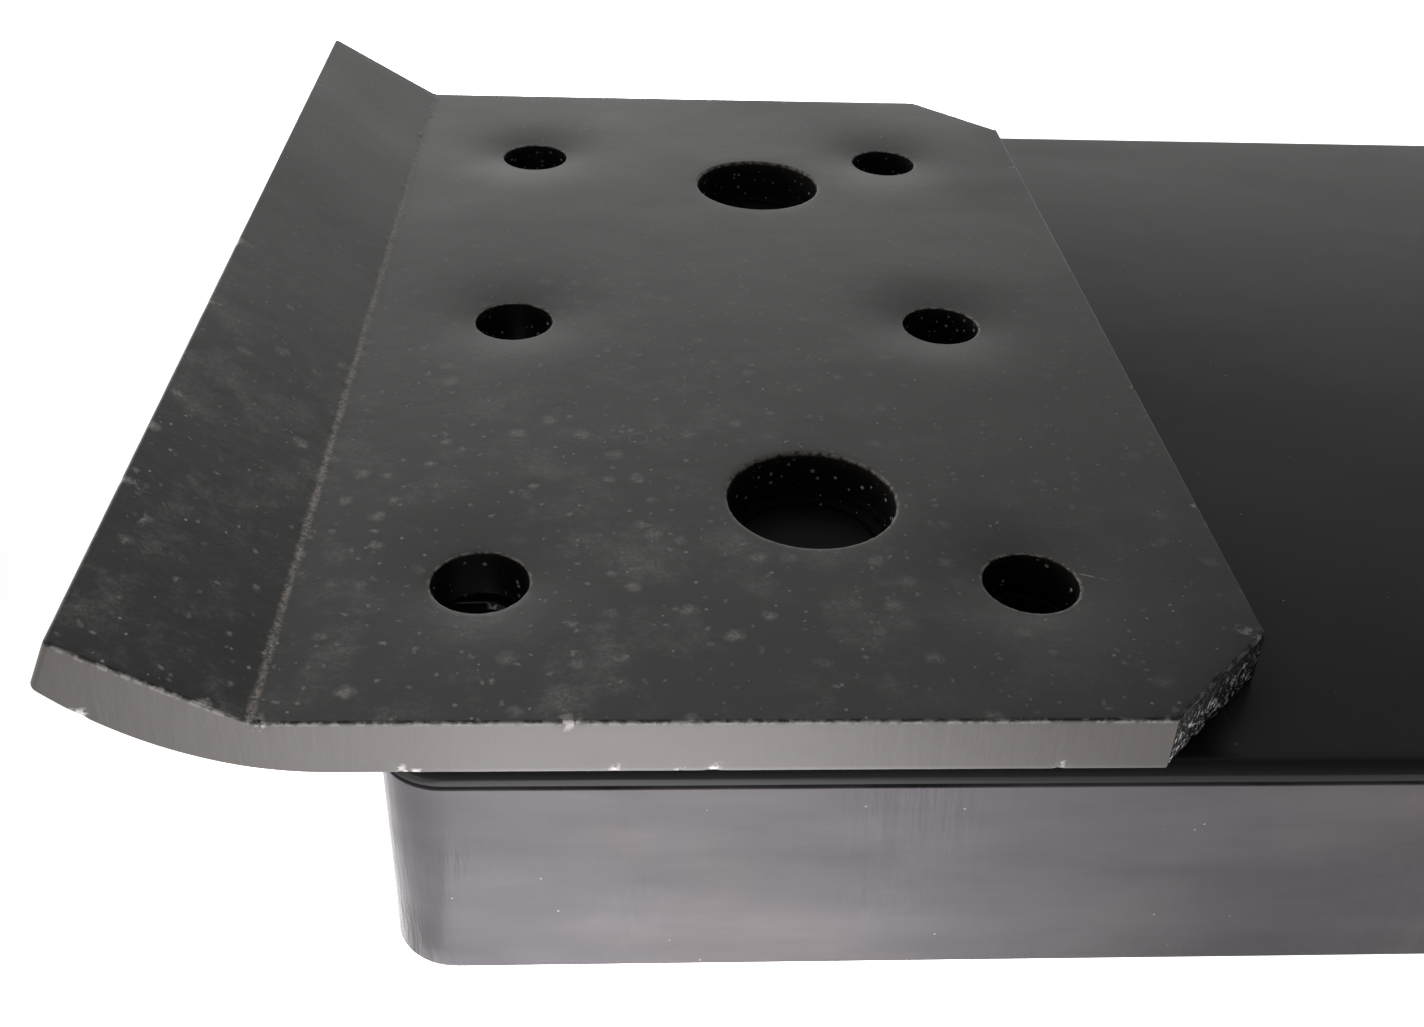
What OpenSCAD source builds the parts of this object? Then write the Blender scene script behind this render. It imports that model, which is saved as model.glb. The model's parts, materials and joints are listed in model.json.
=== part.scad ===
// Fifth wheel hitch: a flat crossbeam with lipped mounting plates carries a four-way tilting head
// with a V throat and a sliding lock bar.
// Millimetres, +Z up. X runs across the vehicle, -Y is the rear, where the kingpin comes in.
// The origin is on the floor, at the middle of the crossbeam.

/* [Crossbeam] */
// Length of the crossbeam pan, across the vehicle
beam_l = 1104; // [1080:2:1120]
// Width of the crossbeam pan, fore and aft
beam_w = 296; // [290:1:302]
// Height of the crossbeam pan
beam_h = 49; // [46:0.5:52]
// Wall of the crossbeam pan
beam_wall = 6; // [5:0.5:7]
// Radius of the upright corners of the pan
corner_r = 12; // [8:0.5:15]

/* [Mounting plates] */
// Thickness of a mounting plate
plate_t = 11.2; // [9:0.1:13]
// Width of a mounting plate, fore and aft
plate_w = 289.7; // [284:0.1:292]
// Flat part of a mounting plate, from its crease to its inboard edge
plate_flat = 173.8; // [165:0.1:180]
// Length of the upturned lip, up its slope
lip_l = 33.4; // [25:0.1:40]
// Slope of the upturned lip
lip_angle = 30; // [25:1:35]
// Pitch of the bolt grid, both ways
bolt_pitch = 101.6; // [98:0.1:104]
// Diameter of the bolt holes
bolt_hole_d = 18; // [16:0.5:19]
// Diameter of the two weld holes
weld_hole_d = 33.4; // [28:0.1:36]
// Size of the cut inboard corners
corner_cut = 22.4; // [15:0.1:28]

/* [Head] */
// Height of the skid plate's top face
head_z = 345; // [341:1:352]
// Width of the skid plate
head_w = 560; // [545:5:570]
// Length of the skid plate, fore and aft
head_l = 520; // [510:2:530]

/* [Hidden] */
$fn = 64;
slack = 0.05;                 // radial clearance of a running fit
gap = 0.5;                    // open gap between parts that slide past each other
over = 1;                     // how far a cutting tool runs past the face it cuts
edge_r = 4;                   // rounded top edges of the pan
end_in = beam_l / 2 - beam_wall;    // inner faces of the pan's end walls
side_in = beam_w / 2 - beam_wall;   // inner faces of its side walls

// mounting plates: the crease stands out past the pan, and the bolt grid is a little to the rear
crease_over = 17.6;
crease_to_grid = 84.3;
grid_y = -6;
plate_y = -1.7;
weld_hole_x = 12.3;           // inboard of the grid's middle
weld_hole_y = [-75.7, 81];    // from the grid's middle
bend_r = 63;                  // underside of the bend
bend_start = 12;              // where the bend begins, inboard of the crease
crease_x = beam_l / 2 + crease_over;
grid_x = crease_x - crease_to_grid;
plate_top = beam_h + plate_t;
ring_leg = 3.5;               // leg of a ring weld
sleeve_d = 32;                // crush sleeve under a bolt hole
hollow_r = 2;                 // corners of the pan's hollow
pan_rib_x = [70, 210, 330];   // ribs inside each half of the pan
pan_rib_t = 8;

// uprights
up_t = 12;
up_x = 210;                   // middle of an upright
up_in = up_x - up_t / 2;      // its inner face
up_out = up_x + up_t / 2;
up_base_w = 190;
up_head_w = 150;
up_neck = 40;                 // height of its spread foot
up_clip = [20, 30];           // its clipped top corners
foot_t = 12;
foot_w = 100;
foot_len = 220;
foot_r = 8;                   // its corners
foot_top = beam_h + foot_t;
bolt_dx = 34;                 // foot bolts from the upright's middle
bolt_y = 90;
m16 = 16;
m16_hex = 27.7;               // across corners
m16_clear = 17;               // clearance hole
bolt_head_t = 10;
bolt_tail = 6;                // thread showing below a nut
nut_t = 14;
washer_d = 32;
washer_t = 3;
gusset_y = 62;
gusset_t = 8;
gusset_w = 38;
gusset_h = 58;
gusset_nose = 8;              // blunt ends of a gusset

// heights of the two tilt axes, from the skid plate's top
pitch_z = head_z - 105;
roll_z = head_z - 196;

// cross tube and its end plates
tube_w = 80;
tube_h = 70;
tube_wall = 6;
tube_top = roll_z + tube_h / 2;
cradle_t = 12;
cradle_w = 144;
cradle_h = 84;
cradle_r = 10;                // its corners
tube_l = 2 * (up_in - cradle_t);
height_step = 25;             // spacing of the height holes
up_top = roll_z + height_step + 31;

// pull pins
pull_d = 16;
pull_y = 56;
pull_in = up_in - cradle_t - 6;
pull_out = up_out + 40;
pull_grip_d = 12;
pull_collar_d = 28;
pull_collar_t = 4;

// roll pivot
roll_pin_d = 32;
roll_bush_d = 40;
roll_sleeve_d = 50;
rocker_in = tube_w / 2 + 1;   // inner faces of the rocker plates
rocker_t = 10;
rocker_out = rocker_in + rocker_t;
roll_head_d = 50;
roll_head_t = 9;
roll_nut_hex = 53;
roll_nut_t = 16;
roll_pin_tail = 6;            // thread showing past the nut

// rocker
ear_x = 146;
ear_in = 88;
ear_top = pitch_z + 22;
ear_low = pitch_z - 28;
saddle_x = 66;
saddle_z = pitch_z - 15;
keel_x = 52;
keel_z = roll_z - 37;
end_t = 12;
bump_x = 140;
bump_d = 30;
bump_h = 12.2;
bump_nose = 3;                // chamfer of a bump stop

// pitch pivots
pitch_d = 28;
pitch_head_d = 40;
pitch_head_t = 6;
pitch_tail = 176;
clip_off = 4;                 // a clip's distance from its web
clip_t = 3;
bush_d = 38;
bush_flange_d = 50;
bush_flange_t = 8;

// head
skid_t = 10;
skid_low = head_z - skid_t;
web_t = 12;
web_in = 155;
web_out = web_in + web_t;
web_tip = 25;                 // depth of a web at its ends
web_boss_r = 33;
ramp_l = 84;
ramp_angle = 17;
flat_rear = ramp_l * cos(ramp_angle) - head_l / 2;
web_rear = flat_rear + 2;
web_front = 215;
skid_corner = 60;
throat_r = 38;                // clears the collar of a 2 in kingpin
throat_mouth = 150;           // half width of the V at the rear edge
throat_neck_y = -24;          // where the V meets the parallel neck
seat_r = 26;                  // holds the 50.8 neck of the kingpin
seat_top = head_z - 36.5;
seat_low = head_z - 58;
seat_w = 120;
seat_rear = -13;
seat_front = 62;
bar_y = -42;                  // middle of the lock bar and its rod
bar_w = 32;
bar_t = 20;
bar_z = head_z - 47;
bar_right = 58;
bar_left = -66;
guide_w = 56;
guide_t = 58;
guide_low = head_z - 66;
guide_left_l = 104;
guide_right_l = 44;
guide_x = throat_r + 1;
rib_x = 262;
rib_t = 8;
rib_h = 22;
front_web_h = 38;
cross_rib_t = 10;
front_y = 150;
rear_y = -160;
rail_t = 8;
rail_h = 32;

// lock rod, latch and spring
rod_d = 14;
rod_end = -345;
handle_x = rod_end - rod_d / 2 + 2;   // the T handle is welded 2 mm onto the rod
collar_x = -182;
collar_d = 28;
collar_t = 8;
latch_x = -197;
latch_t = 6;
latch_open = 50;              // the latch hangs this far from its locked place
latch_pivot_y = -12;
latch_pivot_z = head_z - 74;
latch_w = 24;
latch_len = 62;
latch_bolt_d = 10;
spring_y = bar_y - 32;
spring_r = 8;
spring_wire = 2.6;
spring_turns = 16;
stud_x = -176;
arm_x = -284;
arm_t = 5;
spring_start = stud_x + 2;
spring_finish = arm_x + spring_wire / 2 + slack;
grip_d = 26;
grip_l = 96;
crossbar_l = 112;

// ---- helpers ----

module both_sides() {
    children();
    mirror([1, 0, 0]) children();
}

module four_corners(dx, dy) {
    for (sx = [-1, 1], sy = [-1, 1])
        translate([sx * dx, sy * dy, 0]) children();
}

module box(x, y, z) {
    translate([x[0], y[0], z[0]]) cube([x[1] - x[0], y[1] - y[0], z[1] - z[0]]);
}

module rod_x(x, d) {
    translate([x[0], 0, 0]) rotate([0, 90, 0]) cylinder(d = d, h = x[1] - x[0]);
}

module rod_y(y, d) {
    translate([0, y[0], 0]) rotate([-90, 0, 0]) cylinder(d = d, h = y[1] - y[0]);
}

// a drawing in (Y, Z) pushed along X, from x[0] to x[1]
module push_x(x) {
    translate([x[0], 0, 0]) rotate([90, 0, 90]) linear_extrude(x[1] - x[0]) children();
}

// a drawing in (X, Z) pushed along Y, from y[0] to y[1]
module push_y(y) {
    translate([0, y[1], 0]) rotate([90, 0, 0]) linear_extrude(y[1] - y[0]) children();
}

module rounded_rect(lx, ly, r) {
    square([lx - 2 * r, ly], center = true);
    square([lx, ly - 2 * r], center = true);
    four_corners(lx / 2 - r, ly / 2 - r) circle(r = r);
}

module rounded_slab(lx, ly, h, r) {
    linear_extrude(h) rounded_rect(lx, ly, r);
}

// ---- crossbeam ----

// one column of three bolt holes: side is -1 for the inboard column and 1 for the outboard one
module bolt_column(side) {
    for (row = [-1, 0, 1])
        translate([grid_x + side * bolt_pitch / 2, grid_y + row * bolt_pitch, 0]) children();
}

module bolt_grid() {
    for (side = [-1, 1])
        bolt_column(side) children();
}

module pan_outside() {
    rounded_slab(beam_l, beam_w, beam_h - edge_r, corner_r);
    rounded_slab(beam_l - 2 * edge_r, beam_w - 2 * edge_r, beam_h, corner_r - edge_r);
    for (side = [-1, 1]) {
        translate([0, side * (beam_w / 2 - edge_r), beam_h - edge_r])
            rod_x([corner_r - beam_l / 2, beam_l / 2 - corner_r], 2 * edge_r);
        translate([side * (beam_l / 2 - edge_r), 0, beam_h - edge_r])
            rod_y([corner_r - beam_w / 2, beam_w / 2 - corner_r], 2 * edge_r);
    }
    four_corners(beam_l / 2 - corner_r, beam_w / 2 - corner_r)
        translate([0, 0, beam_h - edge_r])
            rotate_extrude() translate([corner_r - edge_r, 0]) intersection() {
                circle(r = edge_r);
                translate([edge_r - corner_r, -edge_r]) square([2 * corner_r, 2 * edge_r]);
            }
}

// the whole pan, which is made up of a top, two side walls and two end walls
module pan() {
    skin_low = beam_h - beam_wall - over;
    difference() {
        pan_outside();
        translate([0, 0, -over])
            rounded_slab(beam_l - 2 * beam_wall, beam_w - 2 * beam_wall, beam_h - beam_wall + over, hollow_r);
        both_sides() {
            bolt_grid() translate([0, 0, skin_low]) cylinder(d = bolt_hole_d, h = beam_wall + 2 * over);
            translate([up_x, 0, skin_low]) four_corners(bolt_dx, bolt_y)
                cylinder(d = m16_clear, h = beam_wall + 2 * over);
        }
    }
}

// the part of the pan inside one block
module pan_part(x, y) {
    color("DimGray") intersection() {
        pan();
        box(x, y, [-over, beam_h + over]);
    }
}

module beam_ribs() {
    rib_w = beam_w - 2 * beam_wall;
    color("DimGray") both_sides() {
        for (x = pan_rib_x)
            translate([x, 0, (beam_h - beam_wall) / 2])
                cube([pan_rib_t, rib_w, beam_h - beam_wall], center = true);
    }
}

// the outboard bolts stand against the pan's end wall, so only the inboard column has sleeves
module crush_sleeves() {
    color("DimGray") bolt_column(-1) difference() {
        cylinder(d = sleeve_d, h = beam_h - beam_wall);
        translate([0, 0, -over]) cylinder(d = bolt_hole_d, h = beam_h);
    }
}

// ---- mounting plates ----

// section of the right-hand plate: x outward from the crease, y up from the plate's top
module plate_section() {
    out = [cos(lip_angle), sin(lip_angle)];
    down = [sin(lip_angle), -cos(lip_angle)];
    tip = lip_l * out;
    under_tip = tip + 2 * plate_t * down;
    intersection() {
        polygon([[-plate_flat, 0], [0, 0], tip, under_tip, [under_tip[0], -plate_t],
            [-plate_flat, -plate_t]]);
        union() {
            translate([-bend_start, bend_r - plate_t]) circle(r = bend_r, $fn = 180);
            translate([-plate_flat, -plate_t]) square([plate_flat - bend_start, plate_t]);
        }
    }
}

module mount_plate() {
    color("DarkSlateGray") difference() {
        translate([crease_x, 0, plate_top])
            push_y([plate_y - plate_w / 2, plate_y + plate_w / 2]) plate_section();
        bolt_grid() translate([0, 0, beam_h - over]) cylinder(d = bolt_hole_d, h = plate_t + 2 * over);
        weld_holes() translate([0, 0, beam_h - over]) cylinder(d = weld_hole_d, h = plate_t + 2 * over);
        for (side = [-1, 1])
            translate([crease_x - plate_flat, plate_y + side * plate_w / 2, beam_h + plate_t / 2])
                rotate([0, 0, 45])
                    cube([corner_cut * sqrt(2), corner_cut * sqrt(2), 2 * plate_t], center = true);
    }
}

module weld_holes() {
    for (y = weld_hole_y)
        translate([grid_x - weld_hole_x, grid_y + y, 0]) children();
}

module ring_welds() {
    color("DarkSlateGray") weld_holes() translate([0, 0, beam_h])
        rotate_extrude() polygon([[weld_hole_d / 2 - ring_leg, 0], [weld_hole_d / 2, 0],
            [weld_hole_d / 2, ring_leg]]);
}

// ---- uprights ----

module foot() {
    color("DimGray") translate([up_x, 0, beam_h]) difference() {
        rounded_slab(foot_w, foot_len, foot_t, foot_r);
        translate([0, 0, -over]) four_corners(bolt_dx, bolt_y)
            cylinder(d = m16_clear, h = foot_t + 2 * over);
    }
}

module upright() {
    neck = foot_top + up_neck;
    shoulder = up_top - up_clip[1];
    crown = up_head_w / 2 - up_clip[0];
    color("DimGray") difference() {
        push_x([up_in, up_out]) polygon([[-up_base_w / 2, foot_top], [up_base_w / 2, foot_top],
            [up_head_w / 2, neck], [up_head_w / 2, shoulder], [crown, up_top],
            [-crown, up_top], [-up_head_w / 2, shoulder], [-up_head_w / 2, neck]]);
        for (step = [-1, 0, 1], side = [-1, 1])
            translate([0, side * pull_y, roll_z + step * height_step])
                rod_x([up_in - over, up_out + over], pull_d + 2 * slack);
    }
}

module gussets() {
    color("DimGray") both_sides() for (side = [-1, 1])
        translate([up_out, side * gusset_y, foot_top]) push_y([-gusset_t / 2, gusset_t / 2])
            polygon([[0, 0], [gusset_w, 0], [gusset_w, gusset_nose], [gusset_nose, gusset_h],
                [0, gusset_h]]);
}

module at_foot_bolts() {
    both_sides() translate([up_x, 0, 0]) four_corners(bolt_dx, bolt_y) children();
}

module foot_bolts() {
    head_low = foot_top + washer_t;
    tail_low = beam_h - beam_wall - nut_t - bolt_tail;
    color("Silver") at_foot_bolts() {
        translate([0, 0, tail_low]) cylinder(d = m16, h = head_low + over - tail_low);
        translate([0, 0, head_low]) cylinder(d = m16_hex, h = bolt_head_t, $fn = 6);
    }
}

module foot_washers() {
    color("Silver") at_foot_bolts() translate([0, 0, foot_top]) difference() {
        cylinder(d = washer_d, h = washer_t);
        translate([0, 0, -over]) cylinder(d = m16 + 2 * slack, h = washer_t + 2 * over);
    }
}

module foot_nuts() {
    color("Silver") at_foot_bolts() translate([0, 0, beam_h - beam_wall - nut_t]) difference() {
        cylinder(d = m16_hex, h = nut_t, $fn = 6);
        translate([0, 0, -over]) cylinder(d = m16 + 2 * slack, h = nut_t + 2 * over);
    }
}

// ---- cross tube and its pins ----

module cross_tube() {
    color("DimGray") difference() {
        translate([0, 0, roll_z]) cube([tube_l, tube_w, tube_h], center = true);
        translate([0, 0, roll_z])
            cube([tube_l + 2 * over, tube_w - 2 * tube_wall, tube_h - 2 * tube_wall], center = true);
        translate([0, 0, roll_z]) rod_y([-tube_w, tube_w], roll_sleeve_d);
    }
}

module cradle_plate() {
    color("DimGray") difference() {
        push_x([up_in - cradle_t, up_in]) translate([0, roll_z]) rounded_rect(cradle_w, cradle_h, cradle_r);
        for (side = [-1, 1])
            translate([0, side * pull_y, roll_z])
                rod_x([up_in - cradle_t - over, up_in + over], pull_d + 2 * slack);
    }
}

module bump_stops() {
    color("Black") both_sides() translate([bump_x, 0, tube_top]) {
        cylinder(d = bump_d, h = bump_h - bump_nose);
        translate([0, 0, bump_h - bump_nose])
            cylinder(d1 = bump_d, d2 = bump_d - 2 * bump_nose, h = bump_nose);
    }
}

module roll_sleeve() {
    color("DimGray") translate([0, 0, roll_z]) difference() {
        rod_y([-tube_w / 2, tube_w / 2], roll_sleeve_d);
        rod_y([-tube_w, tube_w], roll_bush_d);
    }
}

module roll_bush() {
    color("Black") translate([0, 0, roll_z]) difference() {
        rod_y([-tube_w / 2, tube_w / 2], roll_bush_d);
        rod_y([-tube_w, tube_w], roll_pin_d + 2 * slack);
    }
}

module pull_pin() {
    nose = 4;
    color("Silver") for (side = [-1, 1]) translate([0, side * pull_y, roll_z]) {
        rod_x([pull_in + nose, pull_out], pull_d);
        translate([pull_in, 0, 0]) rotate([0, 90, 0]) cylinder(d1 = pull_d - 5, d2 = pull_d, h = nose);
        rod_x([up_out + 1, up_out + 1 + pull_collar_t], pull_collar_d);
    }
}

// the hand rod that joins the two pins of one side
module pull_rod() {
    color("Silver") difference() {
        translate([pull_out - pull_grip_d / 2, 0, roll_z]) rod_y([-pull_y, pull_y], pull_grip_d);
        for (side = [-1, 1]) translate([0, side * pull_y, roll_z]) rod_x([up_out, pull_out + over], pull_d);
    }
}

// ---- rocker ----

module rocker_plate(y) {
    color("DarkSlateGray") difference() {
        push_y(y) polygon([[-ear_x, ear_low], [-ear_x, ear_top], [-ear_in, ear_top],
            [-saddle_x, saddle_z], [saddle_x, saddle_z], [ear_in, ear_top], [ear_x, ear_top],
            [ear_x, ear_low], [keel_x, keel_z], [-keel_x, keel_z]]);
        translate([0, 0, roll_z]) rod_y([y[0] - over, y[1] + over], roll_pin_d + 2 * slack);
    }
}

module rocker_ends() {
    color("DarkSlateGray") both_sides() difference() {
        box([ear_x - end_t, ear_x], [-rocker_in, rocker_in], [ear_low, ear_top]);
        translate([0, 0, pitch_z]) rod_x([ear_x - end_t - over, ear_x + over], pitch_d + 2 * slack);
    }
}

module roll_pin() {
    color("Silver") translate([0, 0, roll_z]) {
        rod_y([-rocker_out, rocker_out + roll_nut_t + roll_pin_tail], roll_pin_d);
        rod_y([-rocker_out - roll_head_t, -rocker_out], roll_head_d);
    }
}

module roll_nut() {
    color("Silver") translate([0, rocker_out + roll_nut_t, roll_z]) rotate([90, 0, 0]) difference() {
        cylinder(d = roll_nut_hex, h = roll_nut_t, $fn = 6);
        translate([0, 0, -over]) cylinder(d = roll_pin_d + 2 * slack, h = roll_nut_t + 2 * over);
    }
}

module pitch_pins() {
    color("Silver") both_sides() translate([0, 0, pitch_z]) {
        rod_x([ear_x - end_t - 1, pitch_tail], pitch_d);
        rod_x([ear_x - end_t - pitch_head_t, ear_x - end_t], pitch_head_d);
    }
}

module pitch_clips() {
    color("Silver") both_sides() translate([0, 0, pitch_z]) difference() {
        rod_x([web_out + clip_off, web_out + clip_off + clip_t], pitch_head_d);
        rod_x([web_out, web_out + 10], pitch_d + 2 * slack);
    }
}

// ---- head ----

// the V throat and its round end, drawn in (X, Y) for a neck of half width r
module throat_shape(r) {
    rear = -head_l / 2 - over;
    circle(r = r);
    polygon([[-r, 0], [r, 0], [r, throat_neck_y], [throat_mouth, rear], [-throat_mouth, rear],
        [-r, throat_neck_y]]);
}

module skid_plate() {
    color("DarkSlateGray") difference() {
        union() {
            translate([0, 0, skid_low]) linear_extrude(skid_t) polygon([[-head_w / 2, flat_rear],
                [head_w / 2, flat_rear], [head_w / 2, head_l / 2 - skid_corner],
                [head_w / 2 - skid_corner, head_l / 2], [skid_corner - head_w / 2, head_l / 2],
                [-head_w / 2, head_l / 2 - skid_corner]]);
            push_x([-head_w / 2, head_w / 2]) ramp_section();
        }
        translate([0, 0, head_z - ramp_l]) linear_extrude(ramp_l + over) throat_shape(throat_r);
        grease_grooves();
    }
}

// the rear edge of the skid plate, bent down
module ramp_section() {
    rear = -head_l / 2;
    drop = ramp_l * sin(ramp_angle);
    polygon([[flat_rear, head_z], [rear, head_z - drop], [rear, head_z - drop - skid_t],
        [flat_rear, skid_low]]);
}

module grease_grooves() {
    depth = 1.5;
    width = 6;
    translate([0, 0, head_z - depth]) for (r = [105, 150])
        rotate_extrude($fn = 128) translate([r - width / 2, 0]) square([width, depth + over]);
}

// side plate of the head, down to a round boss at the pitch pin
module web_blank() {
    push_x([web_in, web_out]) polygon([[web_rear, skid_low], [web_front, skid_low],
        [web_front, skid_low - web_tip], [web_boss_r - 5, pitch_z], [5 - web_boss_r, pitch_z],
        [web_rear, skid_low - web_tip]]);
    translate([0, 0, pitch_z]) rod_x([web_in, web_out], 2 * web_boss_r);
}

module web(cuts_rod) {
    color("DarkSlateGray") difference() {
        web_blank();
        translate([0, 0, pitch_z]) rod_x([web_in - over, web_out + over], bush_d);
        if (cuts_rod)
            translate([0, bar_y, bar_z]) rod_x([web_in - over, web_out + over], rod_d + 3);
    }
}

module front_web() {
    color("DarkSlateGray")
        box([-web_in, web_in], [front_y, front_y + cross_rib_t], [skid_low - front_web_h, skid_low]);
}

module rear_webs() {
    color("DarkSlateGray") both_sides()
        box([web_out, rib_x], [rear_y, rear_y + cross_rib_t], [skid_low - rib_h, skid_low]);
}

// skirts along the V, which steer the kingpin in
module throat_rails() {
    lean = atan2(throat_mouth - throat_r, head_l / 2 + throat_neck_y);
    start = throat_neck_y - bar_y + guide_w / 2 + rail_t;
    finish = throat_neck_y - flat_rear - 2;
    color("DarkSlateGray") both_sides()
        translate([throat_r + 2, throat_neck_y, skid_low - rail_h]) rotate([0, 0, lean - 90])
            translate([start / cos(lean), 0, 0])
                cube([(finish - start) / cos(lean), rail_t, rail_h]);
}

module outer_ribs() {
    color("DarkSlateGray") both_sides()
        box([rib_x, rib_x + rib_t], [rear_y, head_l / 2 - skid_corner - 10], [skid_low - rib_h, skid_low]);
}

module kingpin_seat() {
    mouth = bar_y + bar_w / 2 + gap;
    color("DimGray") difference() {
        box([-seat_w / 2, seat_w / 2], [seat_rear, seat_front], [seat_low, skid_low]);
        translate([0, 0, seat_low - over]) linear_extrude(guide_t) {
            circle(r = seat_r);
            translate([-seat_r, 2 * mouth]) square([2 * seat_r, -2 * mouth]);
        }
        translate([0, 0, seat_top]) linear_extrude(guide_t) {
            circle(r = throat_r);
            translate([-throat_r, 2 * mouth]) square([2 * throat_r, -2 * mouth]);
        }
    }
}

// a closed block with a square tunnel for the lock bar
module bar_guide(x) {
    half = bar_w / 2 + gap;
    color("DimGray") difference() {
        box(x, [bar_y - guide_w / 2, seat_rear - gap], [guide_low, skid_low]);
        box([x[0] - over, x[1] + over], [bar_y - half, bar_y + half],
            [bar_z - bar_t / 2 - gap, bar_z + bar_t / 2 + gap]);
    }
}

module pitch_bushes() {
    color("Goldenrod") both_sides() translate([0, 0, pitch_z]) difference() {
        union() {
            rod_x([web_in - bush_flange_t, web_out + 3], bush_d);
            rod_x([web_in - bush_flange_t, web_in], bush_flange_d);
        }
        rod_x([web_in - 2 * bush_flange_t, web_out + 10], pitch_d + 2 * slack);
    }
}

module spring_stud() {
    color("Silver") translate([0, spring_y, bar_z]) {
        rod_x([stud_x, -web_out], 8);
        rod_x([stud_x - 3, stud_x], 12);
    }
}

module latch_bolt() {
    color("Silver") translate([0, latch_pivot_y, latch_pivot_z]) {
        rod_x([latch_x + latch_t + gap, -web_out], latch_bolt_d + 8);
        rod_x([latch_x - gap - 1, latch_x + latch_t + gap + 1], latch_bolt_d);
        rod_x([latch_x - gap - 6, latch_x - gap], latch_bolt_d + 8);
    }
}

module grease_fittings() {
    color("Goldenrod") for (y = [front_y - 40, front_y + 50])
        translate([0, y, skid_low - 8]) {
            cylinder(d = 7, h = 8);
            translate([0, 0, -5]) cylinder(d1 = 4, d2 = 6, h = 5);
        }
}

// ---- lock ----

module lock_bar() {
    color("Silver") difference() {
        box([bar_left, bar_right], [bar_y - bar_w / 2, bar_y + bar_w / 2], [bar_z - bar_t / 2, bar_z + bar_t / 2]);
        translate([bar_right, bar_y + bar_w / 2, bar_z]) rotate([0, 0, 45])
            cube([8, 8, 2 * bar_t], center = true);
    }
}

module lock_rod() {
    color("Silver") translate([0, bar_y, bar_z]) {
        rod_x([rod_end, bar_left], rod_d);
        rod_x([collar_x - collar_t, collar_x], collar_d);
    }
}

module spring_arm() {
    color("Silver") difference() {
        push_x([arm_x - arm_t, arm_x]) {
            translate([bar_y, bar_z]) circle(d = collar_d - 4);
            translate([spring_y, bar_z]) circle(d = 18);
            translate([spring_y, bar_z - 7]) square([bar_y - spring_y, 14]);
        }
        translate([0, bar_y, bar_z]) rod_x([arm_x - arm_t - over, arm_x + over], rod_d);
        translate([0, spring_y, bar_z]) rod_x([arm_x - arm_t - over, arm_x + over], 7);
    }
}

module handle_bar() {
    color("Silver") difference() {
        translate([handle_x, bar_y, bar_z]) rod_y([-crossbar_l / 2, crossbar_l / 2], rod_d);
        translate([0, bar_y, bar_z]) rod_x([rod_end, rod_end + rod_d], rod_d);
    }
}

module handle_grip() {
    color("Black") translate([handle_x, bar_y, bar_z]) difference() {
        for (side = [-1, 1])
            scale([1, side, 1]) rod_y([9, grip_l / 2 + 10], grip_d);
        rod_y([-crossbar_l / 2, crossbar_l / 2], rod_d);
    }
}

function coil_point(t) = [
    spring_start + (spring_finish - spring_start) * t,
    spring_y + spring_r * cos(360 * spring_turns * t),
    bar_z + spring_r * sin(360 * spring_turns * t)];

module return_spring() {
    steps = spring_turns * 14;
    sides = 6;
    rings = [for (i = [0 : steps]) let (t = i / steps, c = coil_point(t), a = 360 * spring_turns * t)
        for (k = [0 : sides - 1]) let (b = 360 * k / sides, r = spring_wire / 2)
            c + [r * sin(b), r * cos(b) * cos(a), r * cos(b) * sin(a)]];
    walls = [for (i = [0 : steps - 1], k = [0 : sides - 1]) let (n = (k + 1) % sides)
        [i * sides + k, i * sides + n, (i + 1) * sides + n, (i + 1) * sides + k]];
    first = [[for (k = [sides - 1 : -1 : 0]) k]];
    last = [[for (k = [0 : sides - 1]) steps * sides + k]];
    color("Silver") polyhedron(concat(rings), concat(walls, first, last));
}

module latch_lever() {
    reach = [bar_y - latch_pivot_y, bar_z - latch_pivot_z];
    lean = atan2(reach[1], reach[0]);
    far = norm(reach);
    color("Goldenrod") difference() {
        translate([0, latch_pivot_y, latch_pivot_z]) rotate([lean + latch_open, 0, 0]) difference() {
            push_x([latch_x, latch_x + latch_t]) {
                circle(d = latch_w);
                square([latch_len, latch_w / 2]);
            }
            translate([0, far, 0]) rod_x([latch_x - over, latch_x + latch_t + over], rod_d + 2);
        }
        translate([0, latch_pivot_y, latch_pivot_z])
            rod_x([latch_x - over, latch_x + latch_t + over], latch_bolt_d + 2 * slack);
    }
}

// ---- the part ----

pan_part([-end_in, end_in], [-side_in, side_in]);  // beam_top
pan_part([-end_in, end_in], [side_in, beam_w]);  // beam_side_front
pan_part([-end_in, end_in], [-beam_w, -side_in]);  // beam_side_rear
pan_part([-beam_l, -end_in], [-beam_w, beam_w]);  // beam_end_left
pan_part([end_in, beam_l], [-beam_w, beam_w]);  // beam_end_right
beam_ribs();
mirror([1, 0, 0]) mount_plate();  // mount_plate_left
mount_plate();  // mount_plate_right
mirror([1, 0, 0]) ring_welds();  // ring_welds_left
ring_welds();  // ring_welds_right
mirror([1, 0, 0]) crush_sleeves();  // crush_sleeves_left
crush_sleeves();  // crush_sleeves_right
mirror([1, 0, 0]) foot();  // foot_left
foot();  // foot_right
mirror([1, 0, 0]) upright();  // upright_left
upright();  // upright_right
gussets();
foot_bolts();
foot_washers();
foot_nuts();
cross_tube();
mirror([1, 0, 0]) cradle_plate();  // cradle_plate_left
cradle_plate();  // cradle_plate_right
bump_stops();
roll_sleeve();
roll_bush();
mirror([1, 0, 0]) pull_pin();  // pull_pin_left
pull_pin();  // pull_pin_right
mirror([1, 0, 0]) pull_rod();  // pull_rod_left
pull_rod();  // pull_rod_right
rocker_plate([rocker_in, rocker_out]);  // rocker_plate_front
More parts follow.
